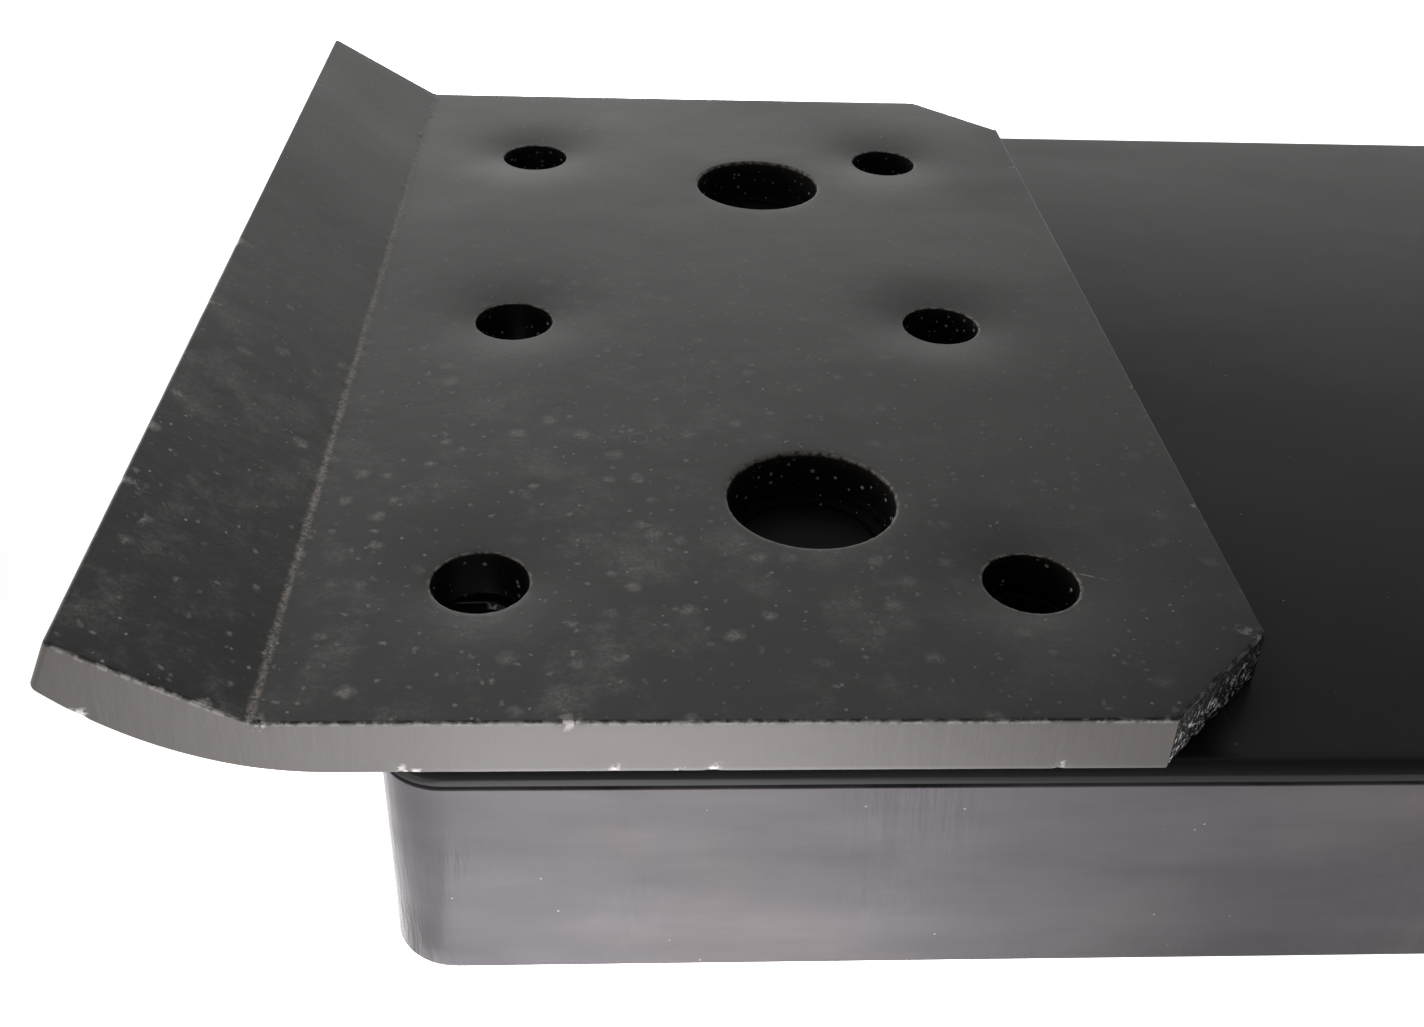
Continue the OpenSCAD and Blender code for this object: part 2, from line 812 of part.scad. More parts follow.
rocker_plate([-rocker_out, -rocker_in]);  // rocker_plate_rear
rocker_ends();
roll_pin();
roll_nut();
pitch_pins();
pitch_clips();
skid_plate();
mirror([1, 0, 0]) web(true);  // web_left
web(false);  // web_right
front_web();
rear_webs();
throat_rails();
outer_ribs();
kingpin_seat();
bar_guide([-guide_x - guide_left_l, -guide_x]);  // bar_guide_left
bar_guide([guide_x, guide_x + guide_right_l]);  // bar_guide_right
pitch_bushes();
spring_stud();
latch_bolt();
grease_fittings();
lock_bar();
lock_rod();
spring_arm();
handle_bar();
handle_grip();
return_spring();
latch_lever();
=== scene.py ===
"""Looks for the fifth wheel hitch: dipped black mounting plates and crossbeam, a powder coated
tilting head, and a zinc plated lock. Metres, in the CAD frame: X across the vehicle, -Y the rear."""
import json
import math
import random

import bpy
from mathutils import Matrix, Vector, noise
from mathutils.geometry import delaunay_2d_cdt


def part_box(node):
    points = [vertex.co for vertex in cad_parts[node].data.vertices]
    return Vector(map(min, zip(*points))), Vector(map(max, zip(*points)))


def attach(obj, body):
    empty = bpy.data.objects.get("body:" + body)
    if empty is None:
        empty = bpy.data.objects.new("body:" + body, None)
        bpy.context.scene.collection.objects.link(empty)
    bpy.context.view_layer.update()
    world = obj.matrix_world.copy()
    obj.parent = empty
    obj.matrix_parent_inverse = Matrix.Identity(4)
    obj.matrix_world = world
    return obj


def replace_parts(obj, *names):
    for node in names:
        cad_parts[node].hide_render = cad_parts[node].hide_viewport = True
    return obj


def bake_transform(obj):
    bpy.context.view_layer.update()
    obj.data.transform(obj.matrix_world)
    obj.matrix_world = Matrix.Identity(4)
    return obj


MM = 0.001
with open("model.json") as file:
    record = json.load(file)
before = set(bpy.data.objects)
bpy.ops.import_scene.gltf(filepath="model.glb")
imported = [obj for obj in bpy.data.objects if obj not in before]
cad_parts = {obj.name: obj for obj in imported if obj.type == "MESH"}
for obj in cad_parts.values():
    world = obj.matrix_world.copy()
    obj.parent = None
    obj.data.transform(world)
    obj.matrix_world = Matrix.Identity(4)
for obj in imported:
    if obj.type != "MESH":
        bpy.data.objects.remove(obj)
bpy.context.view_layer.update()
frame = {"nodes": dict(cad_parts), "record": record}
nodes = frame["nodes"]
mounts = {mount["name"]: mount for mount in frame["record"]["mounts"]}

# ---- sizes read from the frame ----

beam_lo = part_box("beam_end_left")[0]
beam_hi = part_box("beam_end_right")[1]
plate_lo, plate_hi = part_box("mount_plate_right")
ring_lo, ring_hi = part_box("ring_welds_right")
corner_mount = mounts["right_plate_corners"]
beam_top = beam_hi.z
plate_top = corner_mount["pos_m"][2]
plate_t = plate_top - beam_top
grid_x, grid_y = corner_mount["pos_m"][:2]
bolt_pitch = corner_mount["dims"]["spacing_x_mm"] * MM
bolt_r = corner_mount["dims"]["hole_r_mm"] * MM
weld_r = (ring_hi.x - ring_lo.x) / 2
weld_x = (ring_hi.x + ring_lo.x) / 2
weld_y = [ring_lo.y + weld_r, ring_hi.y - weld_r]
near = 0.01 * MM
plate_points = [vertex.co for vertex in nodes["mount_plate_right"].data.vertices]
crease_x = max(p.x for p in plate_points if abs(p.z - plate_top) < near)
inboard_x = plate_lo.x
corner_cut = min(p.y for p in plate_points if abs(p.x - inboard_x) < near) - plate_lo.y
lip_angle = math.radians(30)
lip_l = (plate_hi.z - plate_top) / math.sin(lip_angle)
bend_r = 63 * MM
bend_start = 12 * MM
bend_sweep = math.radians(45.4)
pan_wall = 6 * MM
pan_corner_r = 12 * MM
pan_edge_r = 4 * MM
foot_bolt_hole_r = 8.5 * MM
small_hole_sides, large_hole_sides = 56, 88


# ---- node trees ----

class Graph:
    """The node tree of a new material, or of a world, with one short call for each kind of node."""

    def __init__(self, name, world=None):
        self.material = world or bpy.data.materials.new(name)
        self.material.use_nodes = True
        self.tree = self.material.node_tree
        self.shader = self.tree.nodes["Background" if world else "Principled BSDF"]
        self.place = self.add("ShaderNodeTexCoord").outputs["Generated" if world else "Object"]

    def feed(self, socket, value):
        if isinstance(value, bpy.types.NodeSocket):
            self.tree.links.new(value, socket)
        else:
            socket.default_value = value

    def add(self, kind, inputs=None, **settings):
        node = self.tree.nodes.new(kind)
        for key, value in settings.items():
            setattr(node, key, value)
        for key, value in (inputs or {}).items():
            self.feed(node.inputs[key], value)
        return node

    def noise(self, scale, detail=2.0, rough=0.5, place=None):
        inputs = {"Vector": place or self.place, "Scale": scale, "Detail": detail, "Roughness": rough}
        return self.add("ShaderNodeTexNoise", inputs).outputs["Fac"]

    def math(self, operation, a, b=0.0, c=0.0):
        return self.add("ShaderNodeMath", {0: a, 1: b, 2: c}, operation=operation).outputs[0]

    def step(self, value, low, high, to_low=0.0, to_high=1.0):
        """to_low below low, to_high above high, and a smooth change between them."""
        inputs = {"Value": value, "From Min": low, "From Max": high, "To Min": to_low, "To Max": to_high}
        return self.add("ShaderNodeMapRange", inputs, interpolation_type="SMOOTHSTEP").outputs[0]

    def both(self, *masks):
        result = masks[0]
        for mask in masks[1:]:
            result = self.math("MULTIPLY", result, mask)
        return result

    def either(self, *masks):
        result = masks[0]
        for mask in masks[1:]:
            result = self.math("MAXIMUM", result, mask)
        return result

    def mix(self, factor, a, b):
        node = self.add("ShaderNodeMix", {0: factor, 6: a, 7: b}, data_type="RGBA")
        return node.outputs[2]

    def blend(self, factor, a, b):
        return self.add("ShaderNodeMix", {0: factor, 2: a, 3: b}, data_type="FLOAT").outputs[0]

    def stretch(self, x=1.0, y=1.0, z=1.0, shift=(0.0, 0.0, 0.0)):
        inputs = {"Vector": self.place, "Scale": (x, y, z), "Location": shift}
        return self.add("ShaderNodeMapping", inputs).outputs[0]

    def axes(self):
        """Distance out from the middle along X, then Y and Z."""
        split = self.add("ShaderNodeSeparateXYZ", {0: self.place})
        return self.math("ABSOLUTE", split.outputs[0]), split.outputs[1], split.outputs[2]

    def warped(self, scale, reach):
        """The place, pushed about by noise, so that dots are less round."""
        wobble = self.add("ShaderNodeTexNoise", {"Vector": self.place, "Scale": scale, "Detail": 3.0})
        inputs = {0: wobble.outputs["Color"], 1: (reach,) * 3, 2: self.place}
        return self.add("ShaderNodeVectorMath", inputs, operation="MULTIPLY_ADD").outputs[0]

    def smudges(self, scale, size, share, place):
        """Soft blots that fade from their middles."""
        cell = self.add("ShaderNodeTexVoronoi", {"Vector": place, "Scale": scale})
        pick = self.add("ShaderNodeSeparateColor", {0: cell.outputs["Color"]})
        here = self.math("LESS_THAN", pick.outputs[0], share)
        reach = self.math("MULTIPLY_ADD", pick.outputs[1], size * 0.6, size * 0.4)
        return self.both(here, pick.outputs[2], self.step(cell.outputs["Distance"], reach, 0.0))

    def specks(self, scale, size, share, place=None):
        """Round dots: about share of the cells hold one, of up to size times the cell."""
        cell = self.add("ShaderNodeTexVoronoi", {"Vector": place or self.place, "Scale": scale})
        pick = self.add("ShaderNodeSeparateColor", {0: cell.outputs["Color"]})
        here = self.math("LESS_THAN", pick.outputs[0], share)
        reach = self.math("MULTIPLY_ADD", pick.outputs[1], size * 0.7, size * 0.3)
        inner = self.math("MULTIPLY", reach, 0.6)
        return self.both(here, self.step(cell.outputs["Distance"], reach, inner))

    def worn_edges(self, reach, amount):
        """1 along outward edges, broken up by noise."""
        rounded = self.add("ShaderNodeBevel", {"Radius": reach}, samples=4).outputs[0]
        true = self.add("ShaderNodeNewGeometry").outputs["Normal"]
        inputs = {0: rounded, 1: true}
        match = self.add("ShaderNodeVectorMath", inputs, operation="DOT_PRODUCT").outputs["Value"]
        edge = self.step(match, 0.995, 0.86)
        patchy = self.step(self.noise(90, 5, 0.65), 0.62 - amount, 0.72 - amount)
        return self.both(edge, patchy)

    def bumps(self, *layers):
        """Stacks (height, size in metres) layers into one normal."""
        normal = None
        for height, size in layers:
            inputs = {"Height": height, "Distance": size}
            if normal:
                inputs["Normal"] = normal
            normal = self.add("ShaderNodeBump", inputs).outputs[0]
        self.feed(self.shader.inputs["Normal"], normal)

    def finish(self, color, roughness, metallic=None, **constants):
        self.feed(self.shader.inputs["Base Color"], color)
        self.feed(self.shader.inputs["Roughness"], roughness)
        if metallic is not None:
            self.feed(self.shader.inputs["Metallic"], metallic)
        for key, value in constants.items():
            self.shader.inputs[key.replace("_", " ")].default_value = value
        return self.material


def grey(value, warm=0.0):
    return (value * (1 + warm), value, value * (1 - warm), 1)


# ---- camera, floor and light ----

def look_through_the_photographs_camera():
    """The camera is fitted to the plate's holes and edges."""
    eye = Vector((-0.5099, -0.3327, 0.2302))
    focal_length = 39.017
    pitch, yaw, roll = (math.radians(angle) for angle in (34.656, 3.948, -2.462))
    flat = math.cos(pitch)
    forward = Vector((math.sin(yaw) * flat, math.cos(yaw) * flat, -math.sin(pitch)))
    level = Vector((math.cos(yaw), -math.sin(yaw), 0))
    down = forward.cross(level)
    right = math.cos(roll) * level + math.sin(roll) * down
    below = math.cos(roll) * down - math.sin(roll) * level
    lens = bpy.data.cameras.new("camera")
    lens.sensor_width = 36
    lens.lens = focal_length
    lens.clip_start = 0.01
    holder = bpy.data.objects.new("camera", lens)
    turn = Matrix((right, -below, -forward)).transposed()
    holder.matrix_world = Matrix.Translation(eye) @ turn.to_4x4()
    bpy.context.scene.collection.objects.link(holder)
    bpy.context.scene.camera = holder


def light_the_sky(horizon, overhead):
    """A soft studio dome: bright low down, dimmer overhead and towards +X, with one soft lamp
    high in front, and dark where the photographer would stand. Seen directly it is plain and pale."""
    world = bpy.data.worlds.new("studio")
    g = Graph("studio", world)
    x, y, z = g.add("ShaderNodeSeparateXYZ", {0: g.place}).outputs
    photographer = g.both(g.step(y, 0.0, -0.25), g.step(z, 0.01, 0.1))
    unshaded = g.math("MULTIPLY_ADD", photographer, -0.88, 1.0)
    height = g.step(z, 0.31, 0.51, horizon, overhead)
    lamp = g.both(g.step(z, 0.6, 0.72), g.step(y, 0.3, 0.55))
    lit = g.math("MULTIPLY_ADD", lamp, 0.66, height)
    sideways = g.step(x, -0.2, 0.6, 1.08, 0.52)
    strength = g.both(lit, sideways, unshaded)
    seen = g.add("ShaderNodeLightPath").outputs["Is Camera Ray"]
    shown = g.math("MULTIPLY_ADD", seen, g.math("SUBTRACT", horizon, strength), strength)
    g.feed(g.shader.inputs["Strength"], shown)
    g.shader.inputs["Color"].default_value = (1.0, 0.99, 0.975, 1)
    bpy.context.scene.world = world
    bpy.context.scene.view_settings.view_transform = "Standard"


def lay_the_floor(glow, pool):
    """A pale floor, lit from within so that upright faces have something bright to reflect. It glows
    most in a painted pool of light before the left plate, less next to the pan's ends as painted shade, and
    is dark under the pan."""
    half = 60.0
    mesh = bpy.data.meshes.new("floor")
    z = beam_lo.z - 0.2 * MM
    corners = [(-half, -half, z), (half, -half, z), (half, half, z), (-half, half, z)]
    mesh.from_pydata(corners, [], [(0, 1, 2, 3)])
    floor = bpy.data.objects.new("floor", mesh)
    bpy.context.scene.collection.objects.link(floor)
    g = Graph("floor")
    x, y, _ = g.add("ShaderNodeSeparateXYZ", {0: g.place}).outputs
    out = g.math("ABSOLUTE", x)
    along = g.math("ABSOLUTE", y)
    pool_x = -grid_x - 36 * MM
    off_pool = g.math("ABSOLUTE", g.math("SUBTRACT", x, pool_x))
    # painted pool of light: the floor glows far more before the left plate
    lit = g.math("ADD", glow, g.step(off_pool, 0.14, 0.01, 0.0, pool))
    # painted shade: the glow is dimmed next to the pan's ends
    ends_painted_shade = g.both(g.step(out, beam_hi.x - pan_corner_r, beam_hi.x), g.step(out, 0.9, 0.62),
                    g.step(along, beam_hi.y + 70 * MM, beam_hi.y + 5 * MM))
    lit = g.both(lit, g.step(ends_painted_shade, 0.0, 1.0, 1.0, 0.42))
    clear = g.either(g.step(out, beam_hi.x - pan_corner_r, beam_hi.x + 2 * MM),
                     g.step(along, beam_hi.y - pan_corner_r, beam_hi.y + 2 * MM))
    g.feed(g.shader.inputs["Emission Color"], (1.0, 0.975, 0.985, 1))
    g.feed(g.shader.inputs["Emission Strength"], g.both(lit, clear))
    mesh.materials.append(g.finish(grey(0.8), 0.9))


# ---- materials ----

def plate_paint():
    """Satin black enamel on the mounting plates: dust, a worn crease, chipped edges, a few rust dots, painted
    highlights on the sawn corners and in the bores, and painted shade on the cut faces.
    """
    g = Graph("plate_paint")
    out, along, up = g.axes()
    worn, sawn, bore, top = (g.add("ShaderNodeAttribute", attribute_name=key).outputs["Fac"]
                             for key in ("worn", "sawn", "bore", "top"))
    rear = g.step(along, plate_hi.y - 60 * MM, plate_lo.y + 20 * MM)
    outer = g.step(out, inboard_x, crease_x, 0.12, 1.0)
    dusty = g.both(rear, outer)
    warped = g.warped(520, 2.4 * MM)
    fuzz = g.step(g.noise(1300, 3, 0.7), 0.34, 0.6, 0.3, 1.0)
    blots = g.both(g.smudges(140, 0.42, 0.7, warped), fuzz, g.blend(dusty, 0.08, 1.7))
    flecks = g.both(g.smudges(520, 0.5, 0.3, warped), g.blend(dusty, 0.12, 1.0))
    veil = g.both(g.step(g.noise(60, 5, 0.7), 0.46, 0.78), fuzz, g.blend(dusty, 0.0, 0.6))
    fine = g.both(g.specks(640, 0.3, 0.07), g.blend(dusty, 0.3, 1.0))
    cores = g.both(g.specks(330, 0.14, 0.12, warped), g.blend(dusty, 0.3, 1.0))
    scratch = scratch_mark(g)
    dust = g.both(top, g.either(blots, flecks, veil, fine, cores, scratch))
    off_crease = g.math("ABSOLUTE", g.math("SUBTRACT", out, crease_x))
    ragged = g.math("MULTIPLY_ADD", g.noise(340, 4, 0.75), 1.5 * MM, off_crease)
    fade = g.step(along, plate_hi.y - 10 * MM, plate_hi.y - 90 * MM, 0.3, 1.0)
    speckle = g.step(g.noise(1100, 3, 0.8), 0.38, 0.6, 0.1, 1.0)
    crease = g.both(g.step(ragged, 1.75 * MM, 0.75 * MM), fade, speckle, top)
    chips = g.both(worn, g.step(g.noise(600, 4, 0.7), 0.44, 0.56))
    low_down = g.step(up, plate_top - 1 * MM, beam_top + 3 * MM)
    # painted highlights: bright flecks painted on the lower part of the sawn corner faces
    sawn_painted_highlights = g.both(sawn, g.step(g.noise(800, 4, 0.8), 0.54, 0.62), low_down)
    rust = g.both(top, dusty, g.specks(80, 0.06, 0.1))
    # painted highlights: bright specks painted in the bores, together with those on the sawn faces
    painted_highlight_specks = g.either(g.both(bore, g.specks(800, 0.42, 0.36)), sawn_painted_highlights)
    cut = g.either(bore, sawn)
    wall = g.both(g.math("SUBTRACT", 1.0, g.either(cut, top)), g.step(up, beam_top, beam_top + 1 * MM))
    black = g.mix(g.noise(25, 4), grey(0.007), grey(0.014, 0.03))
    black = g.mix(wall, black, (0.023, 0.018, 0.014, 1))
    # painted shade: the bores and the sawn corner faces are painted darker than the enamel
    black = g.mix(cut, black, grey(0.003))
    color = g.mix(g.both(dust, 0.8), black, grey(0.42, 0.02))
    color = g.mix(g.both(crease, 0.9), color, (0.46, 0.42, 0.38, 1))
    color = g.mix(chips, color, grey(0.33, 0.03))
    # the painted highlights are laid into the colour as a light grey
    color = g.mix(painted_highlight_specks, color, grey(0.62))
    color = g.mix(rust, color, (0.4, 0.13, 0.05, 1))
    matte = g.either(dust, crease, chips, rust, painted_highlight_specks)
    smooth = g.step(g.noise(14, 3), 0.3, 0.7, 0.36, 0.44)
    rough = g.blend(matte, g.blend(bore, g.blend(sawn, smooth, 0.26), 0.5), 0.75)
    g.bumps((g.noise(45, 2), 0.2 * MM), (g.both(dusty, top, g.noise(130, 4, 0.65)), 0.16 * MM),
            (g.noise(420, 3, 0.6), 0.03 * MM), (dust, 0.05 * MM),
            (g.both(sawn, g.noise(500, 4, 0.75)), 0.9 * MM), (crease, -0.08 * MM),
            (g.both(wall, g.noise(1, 3, 0.6, g.stretch(500, 500, 70))), 0.09 * MM))
    return g.finish(color, rough, IOR=1.5)


def scratch_mark(g):
    """One fine curved scratch near the rear inboard corner of each plate, and a small ring mark."""
    scratch = ring_mark(g, 451 * MM, -159 * MM, 60 * MM, 0.22 * MM)
    out, along, _ = g.axes()
    length = g.both(g.step(out, 437 * MM, 434 * MM), g.step(out, 419 * MM, 423 * MM),
                    g.step(along, -150 * MM, -90 * MM))
    broken = g.step(g.noise(330, 2), 0.36, 0.5)
    ring = ring_mark(g, 507 * MM, -60 * MM, 1.9 * MM, 0.16 * MM)
    return g.either(g.both(scratch, length, broken, 0.8), g.both(ring, 0.35))


def ring_mark(g, x, y, radius, width):
    """1 on a thin circle drawn on both plates."""
    out, along, _ = g.axes()
    dx = g.math("SUBTRACT", out, x)
    dy = g.math("SUBTRACT", along, y)
    reach = g.math("SQRT", g.math("ADD", g.both(dx, dx), g.both(dy, dy)))
    off_ring = g.math("ABSOLUTE", g.math("SUBTRACT", reach, radius))
    return g.step(off_ring, width, 0.4 * width)


def beam_paint():
    """Glossy black enamel on the pan, dipped: a cloudy film with runs, brush marks and nicks on its
    sides, glossier and painted darker on the bend as painted shade, and painted shade under the plates."""
    g = Graph("beam_paint")
    out, _, up = g.axes()
    below_bend = beam_top - pan_edge_r
    side = g.step(up, below_bend + 0.6 * MM, below_bend - 0.6 * MM)
    bend = g.step(up, beam_top - 0.05 * MM, beam_top - 0.6 * MM)
    # painted shade: the pan's top under the plates, from just inboard of their inner edges outward, is
    # painted near black
    under = g.both(g.step(out, inboard_x + 5 * MM, inboard_x + 15 * MM), g.math("SUBTRACT", 1.0, bend))
    runs = g.noise(1, 3, 0.55, g.stretch(150, 150, 12))
    wide = g.noise(1, 2, 0.5, g.stretch(16, 16, 30))
    combed = g.both(g.noise(1, 3, 0.6, g.stretch(420, 420, 50)), g.step(g.noise(14, 2), 0.5, 0.62))
    drawn = g.noise(1, 4, 0.6, g.stretch(14, 14, 420))
    nicks = g.specks(75, 0.09, 0.1, g.warped(300, 4 * MM))
    pits = g.either(g.specks(34, 0.045, 0.22), g.specks(120, 0.05, 0.04), g.both(side, nicks))
    chips = g.both(side, g.specks(60, 0.035, 0.02, g.warped(500, 3 * MM)))
    dust = g.specks(700, 0.22, 0.012)
    worn = g.worn_edges(1.2 * MM, 0.06)
    black = g.mix(g.noise(9, 3), grey(0.034), grey(0.042))
    # painted shade: the rounded top edge is painted darker than the top and sides, standing in for the dark
    # band it shows
    black = g.mix(bend, black, grey(0.014))
    # painted shade under the plates
    black = g.mix(under, black, grey(0.004))
    tint = g.mix(g.step(g.noise(20, 4, 0.6), 0.42, 0.64), (0.078, 0.072, 0.084, 1), (0.092, 0.082, 0.084, 1))
    streaky = g.step(g.noise(1, 5, 0.65, g.stretch(11, 11, 55)), -0.4, 1.1)
    film = g.mix(g.both(side, streaky), black, tint)
    # painted shade: the pits and nicks on the sides are real dents, painted near black for the shade inside
    # them
    film = g.mix(g.both(pits, side, 0.8), film, grey(0.01))
    color = g.mix(g.both(g.either(dust, worn), 0.7), film, grey(0.3, 0.03))
    color = g.mix(chips, color, grey(0.7))
    satin = g.step(g.noise(12, 3), 0.3, 0.7, 0.16, 0.24)
    gloss = g.blend(bend, satin, 0.1)
    gloss = g.blend(side, g.blend(under, gloss, 0.6), 0.25)
    rough = g.blend(g.either(dust, worn, chips), gloss, 0.7)
    g.bumps((g.both(side, wide), 1.1 * MM), (g.both(side, runs), 0.28 * MM),
            (g.both(side, combed), 0.7 * MM), (g.both(side, drawn), 0.014 * MM),
            (g.noise(30, 2), 0.12 * MM), (g.noise(240, 2), 0.012 * MM), (pits, -0.5 * MM))
    return g.finish(color, rough, IOR=1.25)


def weld_paint():
    """Enamel pooled over weld beads, with painted highlight specks."""
    g = Graph("weld_paint")
    # painted highlights: light specks painted on the black weld bead
    painted_highlight_specks = g.specks(1000, 0.34, 0.1)
    color = g.mix(painted_highlight_specks, grey(0.003), grey(0.4))
    g.bumps((g.noise(300, 3, 0.6), 0.2 * MM))
    return g.finish(color, g.step(g.noise(60, 2), 0.3, 0.7, 0.4, 0.55), IOR=1.16)


def powder_coat(name, shade, rough, wear, rub=0.0):
    """Textured black powder coat. rub is how far traffic has polished and scuffed its upward faces."""
    g = Graph(name)
    peel = g.noise(650, 3, 0.55)
    blotch = g.noise(18, 4, 0.6)
    dust = g.both(g.specks(620, 0.25, 0.02), g.step(g.noise(22, 2), 0.4, 0.65))
    worn = g.worn_edges(1.5 * MM, wear)
    color = g.mix(blotch, grey(shade * 0.88), grey(shade * 1.15, 0.02))
    matte = g.either(dust, g.both(worn, 0.8))
    color = g.mix(g.both(matte, 0.75), color, grey(0.27, 0.03))
    roughness = g.blend(worn, g.step(g.noise(35, 3), 0.3, 0.7, rough - 0.03, rough + 0.04), 0.42)
    if rub:
        lines = g.step(g.noise(1, 5, 0.75, g.stretch(420, 14, 14)), 0.6, 0.72)
        scuffs = g.both(lines, g.step(g.noise(9, 4, 0.6), 0.4, 0.62), rub)
        color = g.mix(scuffs, color, grey(0.22, 0.02))
    g.bumps((g.noise(40, 2), 0.15 * MM), (peel, 0.05 * MM), (worn, -0.08 * MM))
    return g.finish(color, roughness, IOR=1.5)


def plated_steel(name, shade, rough, grain_axis="X", tint=(1.0, 1.0, 1.0), stain=0.25):
    """Machined or drawn steel under a thin plating: fine grain along one axis, dull patches, dark specks."""
    g = Graph(name)
    across, along = 900, 25
    scale = {"X": (along, across, across), "Y": (across, along, across), "Z": (across, across, along)}
    grain = g.noise(1, 3, 0.6, g.stretch(*scale[grain_axis]))
    cloudy = g.noise(45, 4, 0.65)
    grime = g.step(g.noise(70, 5, 0.7), 0.56, 0.72, 0.0, stain)
    spots = g.specks(420, 0.25, 0.03)
    bright = tuple(shade * part for part in tint) + (1,)
    dull = tuple(shade * part * 0.62 for part in tint) + (1,)
    color = g.mix(cloudy, bright, dull)
    color = g.mix(g.either(grime, g.both(spots, 0.6)), color, (0.06, 0.05, 0.04, 1))
    roughness = g.blend(grime, g.step(grain, 0.3, 0.7, rough - 0.06, rough + 0.1), 0.65)
    g.bumps((grain, 0.012 * MM), (g.noise(140, 3), 0.03 * MM))
    return g.finish(color, roughness, g.blend(grime, 1.0, 0.4))


def greased_seat():
    """Machined steel with smears of dark grease."""
    g = Graph("seat_steel")
    turning = g.noise(1, 3, 0.6, g.stretch(60, 60, 1400))
    grease = g.step(g.noise(48, 4, 0.6), 0.42, 0.58)
    color = g.mix(grease, grey(0.33), (0.035, 0.026, 0.016, 1))
    g.bumps((turning, 0.02 * MM), (grease, 0.5 * MM), (g.both(grease, g.noise(260, 3)), 0.25 * MM))
    return g.finish(color, g.blend(grease, 0.34, 0.2), g.math("SUBTRACT", 1.0, grease))


def rubber():
    """Moulded rubber, dusty in its pores."""
    g = Graph("rubber")
    bloom = g.step(g.noise(60, 4, 0.6), 0.45, 0.75)
    color = g.mix(bloom, grey(0.018), grey(0.06, 0.03))
    g.bumps((g.noise(500, 3, 0.6), 0.06 * MM), (g.noise(60, 2), 0.12 * MM))
    return g.finish(color, g.blend(bloom, 0.55, 0.75), Specular_IOR_Level=0.4)


def grip_vinyl():
    """Dipped black vinyl, polished by hands on its ribs."""
    g = Graph("grip_vinyl")
    handled = g.step(g.noise(55, 3), 0.4, 0.62)
    color = g.mix(handled, grey(0.016), grey(0.028, 0.02))
    lint = g.specks(800, 0.22, 0.02)
    color = g.mix(g.both(lint, 0.6), color, grey(0.3))
    g.bumps((g.noise(900, 2), 0.02 * MM), (g.noise(90, 2), 0.1 * MM))
    return g.finish(color, g.blend(handled, 0.5, 0.34), Specular_IOR_Level=0.5)


def all_materials():
    return {
        "plate_paint": plate_paint(),
        "beam_paint": beam_paint(),
        "weld_paint": weld_paint(),
        "frame_paint": powder_coat("frame_paint", 0.022, 0.42, 0.08),
        "head_paint": powder_coat("head_paint", 0.024, 0.44, 0.07),
        "skid_paint": powder_coat("skid_paint", 0.028, 0.4, 0.12, rub=0.6),
        "seat_steel": greased_seat(),
        "pin_steel": plated_steel("pin_steel", 0.55, 0.26),
        "zinc_steel": plated_steel("zinc_steel", 0.62, 0.32, "Z"),
        "spring_wire": plated_steel("spring_wire", 0.45, 0.3),
        "bronze": plated_steel("bronze", 0.55, 0.3, "X", (1.0, 0.66, 0.32)),
        "rubber": rubber(),
        "grip_vinyl": grip_vinyl(),
        "latch_zinc": plated_steel("latch_zinc", 0.6, 0.3, "Y", (1.0, 0.83, 0.45)),
    }


# ---- mesh helpers ----

def make_piece(name, vertices, faces, material_slot, body=None):
    """A smooth shaded mesh object in the shared frame, which rides on body if one is given."""
    mesh = bpy.data.meshes.new(name)
    mesh.from_pydata(vertices, [], faces)
    mesh.polygons.foreach_set("use_smooth", [True] * len(mesh.polygons))
    mesh.materials.append(materials[material_slot])
    piece = bpy.data.objects.new(name, mesh)
    bpy.context.scene.collection.objects.link(piece)
    if body:
        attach(piece, body)
    return piece


def loop_faces(first, second, count):
    """Quads between two closed loops of count vertices, starting at the given numbers."""
    onward = [(i + 1) % count for i in range(count)]
    return [(first + i, first + n, second + n, second + i) for i, n in enumerate(onward)]


def tube_faces(loops, sides):
    """The skin of a closed tube of so many loops, each of so many points, with both ends capped."""
    faces = []
    for level in range(loops - 1):
        faces += loop_faces(level * sides, (level + 1) * sides, sides)
    last = (loops - 1) * sides
    return faces + [list(range(sides))[::-1], list(range(last, last + sides))]


# ---- mounting plates ----

def rounded_outline(corners, radii, spacing):
    """(point, outward normal) pairs counterclockwise round a convex polygon with rounded corners."""
    arcs = []
    for index, corner in enumerate(corners):
        inward = (corner - corners[index - 1]).normalized()
        onward = (corners[(index + 1) % len(corners)] - corner).normalized()
        turn = inward.angle(onward)
        reach = radii[index] * math.tan(turn / 2)
        left = Vector((-inward.y, inward.x))
        centre = corner - inward * reach + left * radii[index]
        steps = max(3, round(radii[index] * turn / (0.35 * spacing)))
        arc = []
        for step in range(steps + 1):
            angle = math.atan2(-left.y, -left.x) + turn * step / steps
            normal = Vector((math.cos(angle), math.sin(angle)))
            arc.append((centre + normal * radii[index], normal))
        arcs.append(arc)
    outline = []
    for index, arc in enumerate(arcs):
        outline += arc
        start, normal = arc[-1]
        finish = arcs[(index + 1) % len(arcs)][0][0]
        steps = max(1, round((finish - start).length / spacing))
        outline += [(start.lerp(finish, step / steps), normal) for step in range(1, steps)]
    return outline


